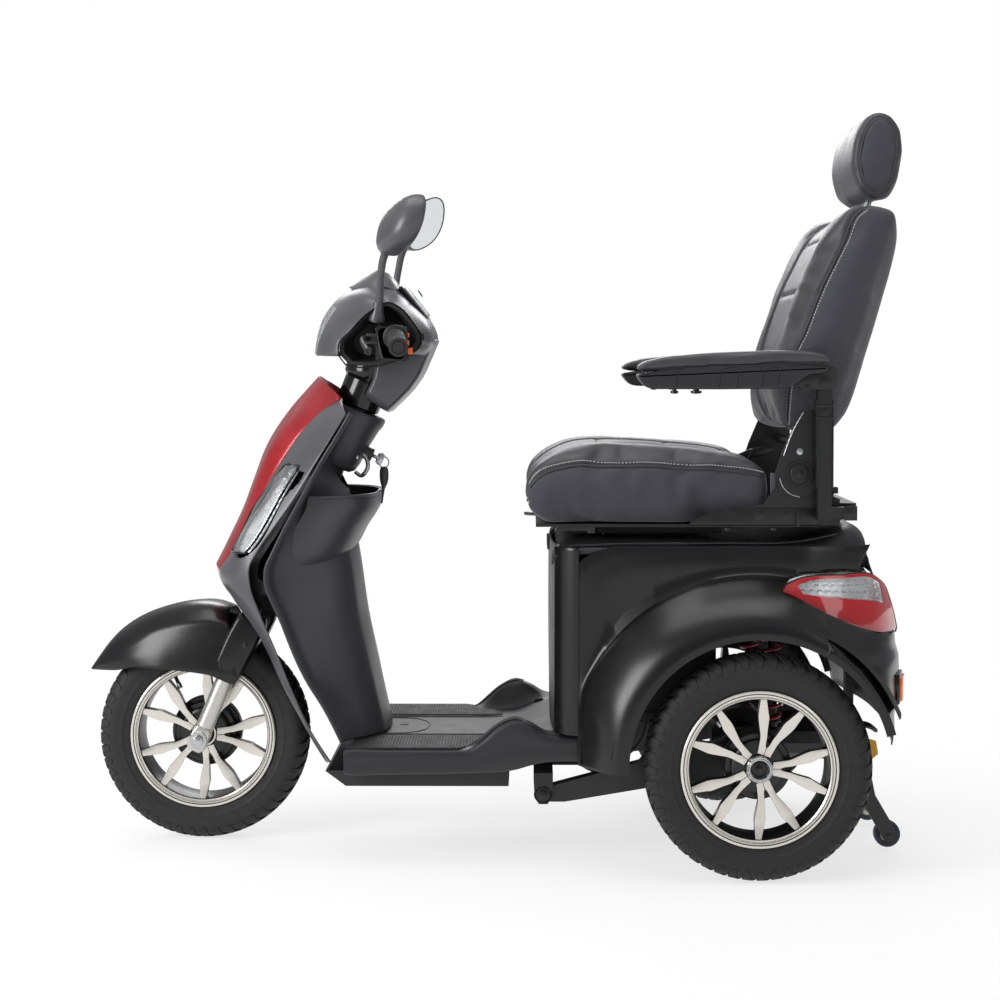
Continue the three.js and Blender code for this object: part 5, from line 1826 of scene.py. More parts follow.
class SCOOTER_OT_floor(bpy.types.Operator):
    """The footboard with its side humps, ribbed mats, hatch and plugs"""

    bl_idname = "scooter.floor"
    bl_label = "Footboard"

    def execute(self, context):
        trim = finish_of("trim")
        rows = []
        for x, z, hump, low in FLOOR:
            side = [
                (x, 0, z), (x, 70, z), (x, 140, z), (x, 164, z + (hump - z) * 0.04), (x, 178, z + (hump - z) * 0.55),
                (x, 192, hump), (x, 216, hump), (x, 225, hump - 3), (x, 228, hump - 10), (x, 228, (hump + low) / 2),
                (x, 227, low + 4), (x, 223, low)
            ]
            rows.append(both_sides(side))
        board = panel("footboard", rows, (60, 0, 120), 3.2, (4, 3), edge=1.0)
        nose = [
            both_sides([(262, 0, z), (262, 120, z), (262, 180, z), (260, 221, z)])
            for z in (215.5, 205, 185, 170)
        ]
        front = panel("footboard_front", nose, (100, 0, 190), 3, (2, 2), edge=0.8)
        tail = panel(
            "footboard_tail",
            [
                both_sides([(-203, 0, z), (-203, 120, z), (-203, 200, z), (-203, 226, z)])
                for z in (240, 225, 210, 195)
            ],
            (0, 0, 215), 3, (2, 2), edge=0.8
        )
        board = joined(board, front, tail)
        holes = [(-97, -162, 6.5, 244), (-97, 162, 6.5, 244), (-150, 196, 5, 244)]
        for x, y, r, z in holes:
            carve(board, pin("hole", (x, y, z - 30), (x, y, z + 30), r + 3, 28))
        dress(board, "chassis", trim, "body_black", ["floorboard"], 40)
        # Dark plugs sunk in the holes: partly their own black, partly painted shade of the holes.
        plugs = named(
            joined(
                *[
                    turned(
                        "plug", [(0.5, z - 8), (r + 1.5, z - 8), (r + 1.5, z - 4), (r - 1, z - 2.5), (0.5, z - 4)],
                        (x, y, 0), (0, 0, 1), 28
                    )
                    for x, y, r, z in holes
                ]
            ),
            "floor_plugs"
        )
        dress(plugs, "chassis", "dark_recess", "body_black")

        pitch = context.scene.scooter_sizes.mat_rib * 1000
        bases, ribs = [], []
        for _, side in SIDES:
            outline = [
                (252, 102), (252, 178), (258, 184), (256, 219), (52, 219), (34, 206), (6, 172), (-24, 160), (-24, 102)
            ]
            base = mesh_of("mat", [(x, side * y, 216.3) for x, y in outline], [tuple(range(len(outline)))])
            in_edit(base, lambda: bpy.ops.mesh.extrude_region_move(TRANSFORM_OT_translate={"value": (0, 0, 0.0016)}))
            closed_and_out(base)
            bases.append(rounded(base, 0.6, 1, 50))
            x = 248.0
            while x > -22:
                far = 217 if x > 52 else float(np.interp(x, [-24, 6, 34, 52], [158, 170, 204, 217]))
                near = 104.0
                if x > 188:
                    far = min(far, 217)
                rib = mesh_of(
                    "rib",
                    [
                        (x - 1.9, side * near, 217.8), (x + 1.9, side * near, 217.8),
                        (x + 1.2, side * (near + 1), 219.3), (x - 1.2, side * (near + 1), 219.3),
                        (x - 1.9, side * far, 217.8), (x + 1.9, side * far, 217.8),
                        (x + 1.2, side * (far - 1), 219.3), (x - 1.2, side * (far - 1), 219.3)
                    ],
                    [(0, 1, 2, 3), (7, 6, 5, 4), (0, 4, 5, 1), (1, 5, 6, 2), (2, 6, 7, 3), (3, 7, 4, 0)]
                )
                ribs.append(closed_and_out(rib))
                x -= pitch
        mat = named(joined(*bases, *ribs), "ribbed_mats")
        dress(mat, "chassis", "rubber", "soft_rubber", ["floor_mat"], 30)
        ring = [
            (168 + 52 * math.cos(a), 74 * math.sin(a), 216.4)
            for a in np.linspace(math.pi / 2, 3 * math.pi / 2, 13)
        ]
        hatch = rod("hatch_seam", [(236, 74, 216.4), *ring, (236, -74, 216.4)], 1.1, 3, 2)
        lines = [hatch]
        for y in (86, -86):
            lines.append(rod("channel", [(250, y, 216.4), (100, y, 216.4), (-26, y, 216.6)], 1.6, 3, 2))
        for side in (1, -1):
            for k, y in enumerate((197, 206, 215)):
                lines.append(
                    rod(
                        "hump_ridge",
                        [
                            (34 - k * 3, side * y, 218), (10, side * y, 233.5), (-20, side * y, 258.4),
                            (-50, side * y, 271), (-66, side * y, 268.6)
                        ],
                        1.7, 5, 3, taper=(0.5, 1, 1, 1, 0.5)
                    )
                )
        lines.append(
            turned(
                "hatch_screw", [(0.5, 216), (9, 216), (9, 217), (6, 217.4), (5, 216.6), (0.5, 216.6)], (167, -14, 0),
                (0, 0, 1), 28
            )
        )
        detail = named(joined(*lines), "floor_mouldings")
        dress(detail, "chassis", trim, "body_black", smooth=40)
        return {"FINISHED"}


def flare_y(r):
    """Half width of the wheel flare at a distance from the wheel's centre."""
    return float(
        np.interp(
            r, [215, 243, 250, 262, 280, 300, 318, 331, 336, 342, 352],
            [341, 343.2, 342.4, 338, 325, 305, 283, 265.5, 259.5, 254, 251]
        )
    )


def narrow(x, y, z):
    """The body narrows toward the tail above the wheel arch."""
    return y - 46 * max(0.0, (-560 - x) / 130) ** 1.4 * min(1.0, max(0.0, (z - 420) / 60))


def from_wheel(degrees, r, y):
    a = math.radians(degrees)
    x, z = REAR_AXLE[0] + r * math.cos(a), REAR_AXLE[2] + r * math.sin(a)
    return (x, narrow(x, y, z), z)


# Tail lamp: upper and lower edge from its front point round the corner.
TAIL_LAMP = [
    [(-521, 268, 516), (-521, 268, 512)], [(-566, 262, 537), (-613, 272, 470)],
    [(-636, 246, 541), (-660, 256, 449)], [(-698, 216, 540), (-706, 232, 434)], [(-740, 166, 506), (-763, 150, 430)],
]
# The bumper from its top down: height, then x and y from the middle to the side.
BUMPER = [
    [540, (-712, 0), (-711, 60), (-706, 120), (-700, 160), (-694, 184), (-688, 196)],
    [508, (-733, 0), (-732, 70), (-726, 130), (-710, 178), (-680, 214), (-606.6, 250)],
    [470, (-752, 0), (-751, 80), (-744, 148), (-722, 200), (-684, 246), (-606.6, 296)],
    [436, (-765, 0), (-764, 84), (-755, 158), (-732, 218), (-690, 268), (-606.6, 331)],
    [402, (-769, 0), (-768, 86), (-758, 164), (-736, 228), (-694, 288), (-628, 343)],
    [382, (-775, 0), (-774, 86), (-764, 166), (-742, 234), (-706, 296), (-652, 343)],
    [340, (-775, 0), (-774, 86), (-765, 166), (-746, 232), (-722, 292), (-689, 342)],
    [295, (-770, 0), (-769, 86), (-761, 164), (-745, 228), (-731, 286), (-712, 338)],
    [256, (-760, 0), (-759, 86), (-752, 162), (-740, 224), (-734, 276), (-722, 330)],
    [246, (-754, 0), (-753, 86), (-746, 160), (-736, 222), (-731, 272), (-722, 322)],
]


def lamp_room(side, grow, out=70, inward=60):
    """What the lamp's place takes out of the body: its outline drawn through the wall."""
    rows = np.array(TAIL_LAMP, float)
    loop = np.vstack([rows[:, 0], rows[::-1, 1]])
    middle = loop.mean(0)
    loop = spline(middle + (loop - middle) * grow, 4, sharp=(0, 4, 5, 9), closed=True)
    way = np.array([-0.62, 0.78, 0.0])
    rings = [loop - way * inward, loop + way * out]
    return skinned("lamp_room", [[tuple(p * (1, side, 1)) for p in ring] for ring in rings])


def lamp_grid(side, grow=1.0, steps=(6, 10)):
    middle = np.array([-650.0, 222, 482])
    rows = np.array(TAIL_LAMP, float)
    rows = middle + (rows - middle) * grow
    bulged = [[row[0], (row[0] + row[1]) / 2 + np.array([-1.5, 3.5, 0]), row[1]] for row in rows]
    return surface([[tuple(p * (1, side, 1)) for p in row] for row in bulged], *steps)


class SCOOTER_OT_rear_body(bpy.types.Operator):
    """The body over the rear wheels: sides with flared arches, front, deck and bumper"""

    bl_idname = "scooter.rear_body"
    bl_label = "Rear body"

    def execute(self, context):
        paint = finish_of("rear_paint")
        stations = [-2, 3, 9, 16, 24, 32, 40, 48, 56, 64, 72, 80, 88, 96, 104, 111, 117, 119.6]
        rows = []
        for degrees in stations:
            a = math.radians(degrees)
            to_front = 320 / max(math.cos(a), 1e-6)
            to_top = 386 / max(math.sin(a), 1e-6)
            edge = min(to_front, to_top)
            crease = min(334.0, edge - 7)
            row = [from_wheel(degrees, 231, 342.8), from_wheel(degrees, 237, 343.2), from_wheel(degrees, 243, 343.3)]
            for share in (0.1, 0.24, 0.42, 0.62, 0.82, 1.0):
                r = 245 + (crease - 245) * share
                row.append(from_wheel(degrees, r, flare_y(245 + 89 * share)))
            row += [
                from_wheel(degrees, crease + 3, 254.5), from_wheel(degrees, (crease + edge) / 2 + 3, 250),
                from_wheel(degrees, edge, 247)
            ]
            rows.append(row)
        grid = surface(rows, 4, 3, (), (2, 8))
        for name, side in SIDES:
            shell = panel("rear_flank_" + name, None, IN_REAR_ARCH, 2, edge=0, grid=grid * (1, side, 1))
            # The wall's end at the bumper and the opening for the lamp.
            carve(shell, block("seam_cut", *sided(side, (-800, 0, 0), (-606.2, 400, 504)), 0))
            carve(shell, lamp_room(side, 1.03))
            rounded(shell, 0.8, 2, 50)
            dress(shell, "chassis", paint, "body_grey", ["rear_side_" + name], 33)
            corner = [(-123, 212), (-134, 228), (-146, 240), (-158, 247), (-168, 250)]
            pillar = panel(
                "front_pillar_" + name,
                [[(x, side * y, z) for x, y in corner] for z in (588, 570, 500, 400, 300, 246)], (-300, 0, 400),
                steps=(3, 4), edge=1.2
            )
            dress(pillar, "chassis", paint, "body_grey", smooth=35)
        front_rows = [
            both_sides([(x0, 0, z), (x0 - 2, 110, z), (x0 - 7, 176, z), (x0 - 12, 204, z), (x0 - 17, 207, z)])
            for z, x0 in ((592, -117), (574, -116), (500, -115), (420, -115), (330, -116), (243, -117))
        ]
        front = panel("rear_body_front", front_rows, (-400, 0, 400), steps=(3, 3), sharp=((), (1, 7)), edge=1.2)
        # A dark block stands for the handle recess: painted shade.
        bar_y = [block("handle_recess", (-122, -60, 566), (-112, 60, 588), 3)]
        deck_rows = [
            [-122, 576, 566, 205], [-134, 590, 580, 225], [-160, 598, 586, 240], [-230, 598, 590, 246],
            [-420, 598, 592, 246], [-540, 600, 593, 243], [-600, 609, 594, 226], [-648, 618, 592, 204],
            [-684, 621, 588, 186], [-701, 608, 580, 182], [-706, 576, 562, 184], [-711, 548, 545, 190],
            [-713, 539, 538, 193]
        ]
        deck_rows = [
            both_sides(
                [
                    (x, 0, z), (x, y * 0.45, z), (x + 1, y * 0.72, z * 0.96 + edge * 0.04),
                    (x + 2, y * 0.88, z * 0.62 + edge * 0.38), (x + 3, y * 0.97, z * 0.1 + edge * 0.9),
                    (x + 3, y - 1, edge - 6), (x + 3, y - 3, edge - 12)
                ]
            )
            for x, z, edge, y in deck_rows
        ]
        deck = panel("rear_deck_moulding", deck_rows, (-400, 0, 300), steps=(4, 3), edge=1.2)
        carve(deck, block("post_room", (-390, -90, 500), (-210, 90, 700), 8))
        top = joined(deck, front)
        dress(top, "chassis", "trim", "body_black", ["rear_deck"], 35)
        dress(bar_y[0], "chassis", "dark_recess", "body_black")
        details = [
            rod(
                "deck_bead",
                [
                    (x, side * y, z + 1)
                    for x, y, z in (
                        (-150, 236, 590), (-240, 241, 594), (-420, 241, 596), (-560, 236, 598), (-640, 210, 610)
                    )
                ],
                2.2, 5, 3
            )
            for side in (1, -1)
        ]
        bead = named(joined(*details), "deck_beads")
        dress(bead, "chassis", "gloss_trim", "body_black", smooth=45)

        half = [[(x, y, z) for x, y in plan] for z, *plan in BUMPER]
        bumper_grid = surface([both_sides(r) for r in half], 4, 4, (4, 5), ())
        bumper = panel("rear_bumper_shell", None, (-486, 0, 400), 2.4, edge=0, grid=bumper_grid)
        for name, side in SIDES:
            carve(bumper, lamp_room(side, 1.03))
        rounded(bumper, 1.3, 2, 50)
        lips = []
        for name, side in SIDES:
            arc = [
                [from_wheel(d, r, y) for r, y in ((231, 342.4), (237, 343.2), (243, 343.3), (248, 342.6))]
                for d in (120, 128, 136, 144, 152, 160, 165)
            ]
            lips.append(
                panel("arch_lip_" + name, [on_side(r, side) for r in arc], IN_REAR_ARCH, 2, (3, 3), ((), (2,)), 0.7)
            )
        bumper = named(joined(bumper, *lips), "rear_bumper_moulding")
        dress(bumper, "chassis", paint, "body_grey", ["rear_bumper"], 35)
        for name, side in SIDES:
            liner_rows = [
                [from_wheel(d, r, y * 1.0) for r, y in ((262, 335), (271, 300), (274, 262), (271, 240))]
                for d in (4, 24, 44, 64, 84, 104, 124, 144, 160)
            ]
            # The arch liner is drawn extra dark: partly its own black, partly painted shade under the body.
            liner = panel(
                "arch_liner_" + name, [on_side([(x, y, z) for x, y, z in r], side) for r in liner_rows],
                tuple(REAR_AXLE + (0, side * 300, 400)), 2, (3, 3), edge=0
            )
            dress(liner, "chassis", "dark_recess", "body_black", smooth=50)
            frame_ = block("reflector_frame", *sided(side, (-771, 168, 300), (-757, 232, 356)), 3)
            # The amber reflector's faint glow is painted light.
            amber = block("reflector_" + name, *sided(side, (-776, 174, 306), (-765, 226, 350)), 2.4)
            for piece in (frame_, amber):
                piece.data.transform(turned_about((-766, side * 200, 328), (0, 0, 1), -side * 16))
                piece.data.transform(Matrix.Translation((0.009, 0, 0)))
            named(frame_, "reflector_frame_" + name)
            dress(frame_, "chassis", "gloss_trim", "body_black")
            dress(amber, "chassis", "amber_lens", "red_lens")
        return {"FINISHED"}


class SCOOTER_OT_tail_lamps(bpy.types.Operator):
    """The tail lamps: clear upper window with its diodes, red lens round it"""

    bl_idname = "scooter.tail_lamps"
    bl_label = "Tail lamps"

    def execute(self, context):
        for name, side in SIDES:
            grid = lamp_grid(side, 0.985, (8, 12))
            n = grid.shape[0]
            window = (slice(4, n - 4), slice(1, 12))
            lens = panel("tail_lens_" + name, None, IN_REAR_BODY, 2.4, edge=0, grid=grid + (-2.0, side * 2.2, 0.4))
            lens_box = grid[window]
            back = panel("tail_bowl_" + name, None, IN_REAR_BODY, 2.0, edge=0, grid=grid - (-8, side * 9, 0))
            cutter = panel("cut", None, IN_REAR_BODY, 40, edge=0, grid=lens_box + (-14, side * 14, 2))
            carve(lens, cutter)
            rounded(lens, 0.7, 2, 50)
            clear = panel(
                "tail_window_" + name, None, IN_REAR_BODY, 2.0, edge=0.5, grid=lens_box + (-1.8, side * 2.0, 0.4)
            )
            dress(lens, "chassis", "red_lens", "red_lens", ["tail_lamp_" + name], 30)
            dress(clear, "chassis", "clear_lens", "clear_lens", smooth=30)
            dress(back, "chassis", "lamp_bowl", "clear_lens", smooth=30)
            bars = []
            for j in (3, 5, 8):
                for i in range(6, n - 5, 2):
                    a = grid[i, j] + (1.5, -side * 3.0, 0)
                    b = grid[i + 1, j] + (1.5, -side * 3.0, 0)
                    bars.append(rod("diode", [tuple(a), tuple(b)], 2.0 if j != 5 else 1.5, 1, 1))
            diodes = named(joined(*bars), "tail_diodes_" + name)
            dress(diodes, "chassis", "chrome", "clear_lens", smooth=40)
            rim = rod(
                "tail_bezel_" + name,
                [tuple(p + (-1, side * 1.4, 0)) for p in np.vstack([grid[::4, 0], grid[-1, 4::4], grid[-5::-4, -1]])],
                1.8, 3, 3, False, True
            )
            dress(rim, "chassis", "gloss_trim", "body_black", smooth=45)
        return {"FINISHED"}


class SCOOTER_OT_rear_frame(bpy.types.Operator):
    """Rear springs, anti-tip wheels and the detail of the frame under the body"""

    bl_idname = "scooter.rear_frame"
    bl_label = "Rear frame"

    def execute(self, context):
        wire = context.scene.scooter_sizes.spring_wire * 500
        for name, side in SIDES:
            foot = np.array([-528.0, side * 163, 244])
            turns, per = 7, 16
            path = [
                foot + (
                    17 * math.cos(2 * math.pi * k / per), 17 * math.sin(2 * math.pi * k / per),
                    16 + 150 * k / (turns * per)
                )
                for k in range(turns * per + 1)
            ]
            spring = rod("spring_" + name, [tuple(p) for p in path], wire, 1, 3)
            dress(spring, "chassis", "spring_paint", "spring_red", ["shock_" + name], 60)
            body = turned(
                "damper_" + name,
                [
                    (1, 2), (9, 2), (12, 5), (12, 12), (19, 13), (19, 16), (11, 17), (11, 96), (6, 98), (6, 168),
                    (19, 169), (20, 173), (12, 178), (12, 214), (9, 222), (1, 222)
                ],
                foot, (0, 0, 1), 32
            )
            dress(body, "chassis", "frame_coat", "frame_paint", smooth=35)
            for piece in (spring, body):
                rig.squash(piece, "rear_suspension", axis=(0, 0, 1), anchor=(0, 0, 0.4696), keep=0.83)
            hub = np.array([-756.0, side * 102, 32])
            tyre = turned(
                "tip_tyre_" + name,
                [(14, -9), (22, -10.5), (24.6, -8), (25, -4), (25, 4), (24.6, 8), (22, 10.5), (14, 9)], hub,
                (0, 1, 0), 48
            )
            core = turned(
                "tip_hub_" + name,
                [(5.6, -10.6), (9, -10.6), (10, -9), (15, -8), (15, 8), (10, 9), (9, 10.6), (5.6, 10.6)], hub,
                (0, 1, 0), 40
            )
            dress(tyre, f"tip_wheel_{name}", "navy", "tyre_rubber", [f"anti_tip_wheel_{name}"], 40)
            dress(core, f"tip_wheel_{name}", "beige", "body_grey", smooth=40)
            nut = named(
                joined(
                    bolt("tip_nut", hub + (0, side * 18, 0), (0, side, 0), 6.5, 6),
                    pin("tip_spacer", hub + (0, side * 11.4, 0), hub + (0, side * 13, 0), 9, 24)
                ),
                "tip_wheel_nut_" + name
            )
            dress(nut, "chassis", "wheel_black", "frame_paint")
            pivot = named(
                joined(
                    bolt("pivot", (-104, side * 184, 124), (0, side, 0), 9.5, 8),
                    turned(
                        "pivot_boss", [(10, 0), (17, 0), (17.5, 2), (17.5, 6), (16, 8), (10, 8)],
                        (-104, side * 176, 124), (0, side, 0), 36
                    )
                ),
                "swing_arm_pivot_" + name
            )
            dress(pivot, "chassis", "frame_coat", "frame_paint")
            lug = bolt("anti_tip_bolt_" + name, (-704, side * 125.4, 176), (0, side, 0), 7, 5)
            dress(lug, "chassis", "chrome", "frame_paint")
        loop = rod(
            "freewheel_guard",
            [
                (-700, 50, 224), (-716, 50, 232), (-732, 50, 228), (-740, 56, 222), (-740, 72, 222), (-732, 78, 228),
                (-716, 78, 232), (-700, 78, 224)
            ],
            4, 4, 4
        )
        dress(loop, "chassis", "frame_coat", "frame_paint", smooth=45)
        cables = [
            rod(
                "cable",
                [(-150, y, 176), (-210, y + 8, 140), (-270, y + 20, 150), (-300, y + 22, 180), (-312, y + 22, 225)],
                3.4, 6, 3
            )
            for y in (60, -66)
        ]
        loom = named(joined(*cables), "brake_cables")
        dress(loom, "chassis", "rubber", "frame_paint", smooth=45)
        return {"FINISHED"}


# ---- Seat ----
CUSHION = [
    (-58, 690), (-61, 654), (-82, 634), (-120, 631.5), (-250, 631), (-378, 631.5), (-390, 638), (-524, 638),
    (-527, 690), (-524, 734), (-430, 748), (-300, 758), (-170, 763), (-104, 756), (-70, 730)
]
BACKREST = [
    (-534, 807), (-538, 874), (-549, 944), (-588, 1064), (-640, 1176), (-662, 1214), (-676, 1221), (-742, 1211),
    (-756, 1203), (-733, 1110), (-706, 1011), (-668, 887), (-638, 790), (-560, 788)
]
HEADREST = [
    (-722, 1228), (-750, 1229), (-766, 1262), (-776, 1320), (-772, 1362), (-754, 1388), (-729, 1396), (-706, 1384),
    (-688, 1350), (-680, 1300), (-692, 1250)
]
ARM_PAD = [
    (-266, 908), (-267, 915), (-277, 923.5), (-311, 931), (-383, 937.5), (-454, 941), (-525, 943), (-580, 942.5),
    (-606, 938), (-617, 927), (-612, 920.5), (-525, 924), (-454, 922.5), (-383, 919), (-311, 911.5)
]
ARM_SHELL = [
    (-268, 903), (-274, 894), (-284, 882), (-296, 877), (-420, 876.5), (-530, 878), (-548, 883), (-560, 893),
    (-574, 903), (-606, 906), (-612, 918), (-525, 922), (-454, 920.5), (-383, 917), (-311, 909.5)
]
# Where the leather ends on the sides of the cushion and of the backrest.
CUSHION_SEAM = [
    (-64, 700), (-97, 723.5), (-133, 736.2), (-170, 744.4), (-206, 747.1), (-315, 748), (-388, 741.7), (-460, 734.4),
    (-520, 724)
]
BACKREST_SEAM = [
    (-536, 812), (-540, 874), (-549, 938), (-558, 980), (-577, 1017), (-600, 1062), (-627, 1112), (-648, 1158),
    (-666, 1196), (-684, 1212)
]


def even(outline, count, soft=3):
    """A closed side outline as evenly spaced points with softened corners, and the way out at each."""
    line = np.array(list(outline) + [outline[0]], float)
    walked = np.concatenate([[0], np.cumsum(np.linalg.norm(np.diff(line, axis=0), axis=1))])
    at = np.linspace(0, walked[-1], count, endpoint=False)
    loop = np.stack([np.interp(at, walked, line[:, 0]), np.interp(at, walked, line[:, 1])], 1)
    for _ in range(soft):
        loop = (np.roll(loop, 1, 0) + 2 * loop + np.roll(loop, -1, 0)) / 4
    along = np.roll(loop, -1, 0) - np.roll(loop, 1, 0)
    out = np.stack([along[:, 1], -along[:, 0]], 1) / np.linalg.norm(along, axis=1)[:, None]
    area = np.sum(loop[:, 0] * np.roll(loop[:, 1], -1) - loop[:, 1] * np.roll(loop[:, 0], -1))
    return loop, out * np.sign(area)


def pad_form(name, outline, middle, half, roll, less, count=110):
    """The tight form of a pad, a little smaller than it will be when filled."""
    loop, out = even(outline, count)
    rings = []
    ends = [(0, 1.0), (0.06, 0.62), (0.2, 0.33), (0.45, 0.12), (0.8, 0.02), (1.3, 0)]
    across = [-half + less * 0.7 + a * roll for a, _ in ends] + [half - less * 0.7 - a * roll for a, _ in ends[::-1]]
    insets = [b * roll for _, b in ends] + [b * roll for _, b in ends[::-1]]
    for y, inset in zip(across, insets):
        ring = loop - out * (inset + less)
        rings.append([(x, middle + y, z) for x, z in ring])
    return skinned(name, rings)


def points_of(obj):
    found = np.empty(len(obj.data.vertices) * 3)
    obj.data.vertices.foreach_get("co", found)
    return found.reshape(-1, 3) * 1000


def move_points(obj, points):
    obj.data.vertices.foreach_set("co", (np.asarray(points) / 1000).ravel())
    obj.data.update()


def filled(obj, voxel, swell, floor=None):
    """Remeshes a form evenly and blows it up with a cloth simulation, each point held within its swell."""
    modify(obj, "REMESH", mode="VOXEL", voxel_size=voxel / 1000, use_smooth_shade=True)
    start = points_of(obj)
    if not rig.quick():
        scene = bpy.context.scene
        scene.frame_start, scene.frame_end = 1, 20
        take(obj)
        cloth = obj.modifiers.new("Cloth", "CLOTH")
        cloth.settings.use_pressure = True
        cloth.settings.uniform_pressure_force = 4
        cloth.settings.quality = 4
        cloth.settings.effector_weights.gravity = 0
        cloth.collision_settings.use_collision = False
        cloth.point_cache.frame_end = 20
        for frame_number in range(1, 21):
            scene.frame_set(frame_number)
        bpy.ops.object.modifier_apply(modifier=cloth.name)
        scene.frame_set(1)
    move = points_of(obj) - start
    size = np.linalg.norm(move, axis=1)[:, None] + 1e-6
    end = start + move / size * swell * np.tanh(size / swell)
    if floor is not None:
        end[:, 2] = np.maximum(end[:, 2], floor + 0.25 * (start[:, 2] - start[:, 2].min()))
    move_points(obj, end)
    modify(obj, "CORRECTIVE_SMOOTH", iterations=4, use_only_smooth=True)
    modify(obj, "SUBSURF", levels=1, render_levels=1)
    return obj


def out_of(obj):
    found = np.empty(len(obj.data.vertices) * 3)
    obj.data.vertices.foreach_get("normal", found)
    return found.reshape(-1, 3)


def dished(obj, way, depth, flat, rim):
    """Lowers the middle of a pad between its two bolsters; way is the direction it faces."""
    points, out = points_of(obj), out_of(obj)
    share = np.clip((rim - np.abs(points[:, 1])) / (rim - flat), 0, 1)
    share = share * share * (3 - 2 * share)
    facing = np.clip((out @ np.asarray(way) - 0.25) / 0.5, 0, 1)
    move_points(obj, points - np.outer(depth * share * facing, way))


def sunk(obj, lines, width, depth):
    """Presses seams into a pad along lines that lie on it."""
    tree = kdtree.KDTree(sum(len(line) for line in lines))
    n = 0
    for line in lines:
        for p in line:
            tree.insert(Vector(p), n)
            n += 1
    tree.balance()
    points, out = points_of(obj), out_of(obj)
    away = np.array([tree.find(p)[2] for p in points])
    move_points(obj, points - out * (depth * np.exp(-(away / width) ** 2))[:, None])


def laid_on(obj, points, pitch=3.0):
    """A line of evenly spaced points dropped onto a pad, with the way out at each."""
    line = spline(points, 12)
    walked = np.concatenate([[0], np.cumsum(np.linalg.norm(np.diff(line, axis=0), axis=1))])
    at = np.arange(0, walked[-1], pitch)
    line = np.stack([np.interp(at, walked, line[:, k]) for k in range(3)], 1)
    found = [obj.closest_point_on_mesh(Vector(p) / 1000) for p in line]
    spots, outs = np.array([hit[1] for hit in found]) * 1000, np.array([hit[2] for hit in found])
    for _ in range(5):
        for row in (spots, outs):
            row[1:-1] = (row[:-2] + 2 * row[1:-1] + row[2:]) / 4
    return spots, outs


def stitched(name, obj, lines, pitch, reach, radius):
    """Rows of stitches lying on a pad."""
    points, faces = [], []
    for line in lines:
        spots, outs = laid_on(obj, line, pitch)
        along = np.gradient(spots, axis=0)
        along /= np.linalg.norm(along, axis=1)[:, None] + 1e-9
        for spot, out, way in zip(spots, outs, along):
            across = np.cross(out, way)
            first = len(points)
            for share, thick, lift in ((-0.5, 0.55, -0.2), (-0.3, 1.0, 0.6), (0.3, 1.0, 0.6), (0.5, 0.55, -0.2)):
                for k in range(5):
                    a = 2 * math.pi * k / 5
                    points.append(
                        spot + way * share * reach + out * (lift * radius + math.sin(a) * radius * thick)
                        + across * math.cos(a) * radius * thick
                    )
            for r in range(3):
                faces += [
                    (
                        first + r * 5 + k, first + r * 5 + (k + 1) % 5, first + (r + 1) * 5 + (k + 1) % 5,
                        first + (r + 1) * 5 + k
                    )
                    for k in range(5)
                ]
            faces += [tuple(first + k for k in range(5)), tuple(first + 15 + k for k in range(5))]
    made = mesh_of(name, points, faces)
    return closed_and_out(made, 1e-9)


def welt(name, obj, lines, radius, proud=0.4):
    """A covered cord sewn into a seam."""
    cords = []
    for line in lines:
        spots, outs = laid_on(obj, line, 9.0)
        cords.append(rod(name, [tuple(p + o * proud) for p, o in zip(spots, outs)], radius, 2, 3))
    made = named(joined(*cords), name)
    return made


def seam_height(line):
    xs = np.array([p[0] for p in line])[::-1]
    zs = np.array([p[1] for p in line])[::-1]
    order = np.argsort(xs)
    return lambda x: float(np.interp(x, xs[order], zs[order]))


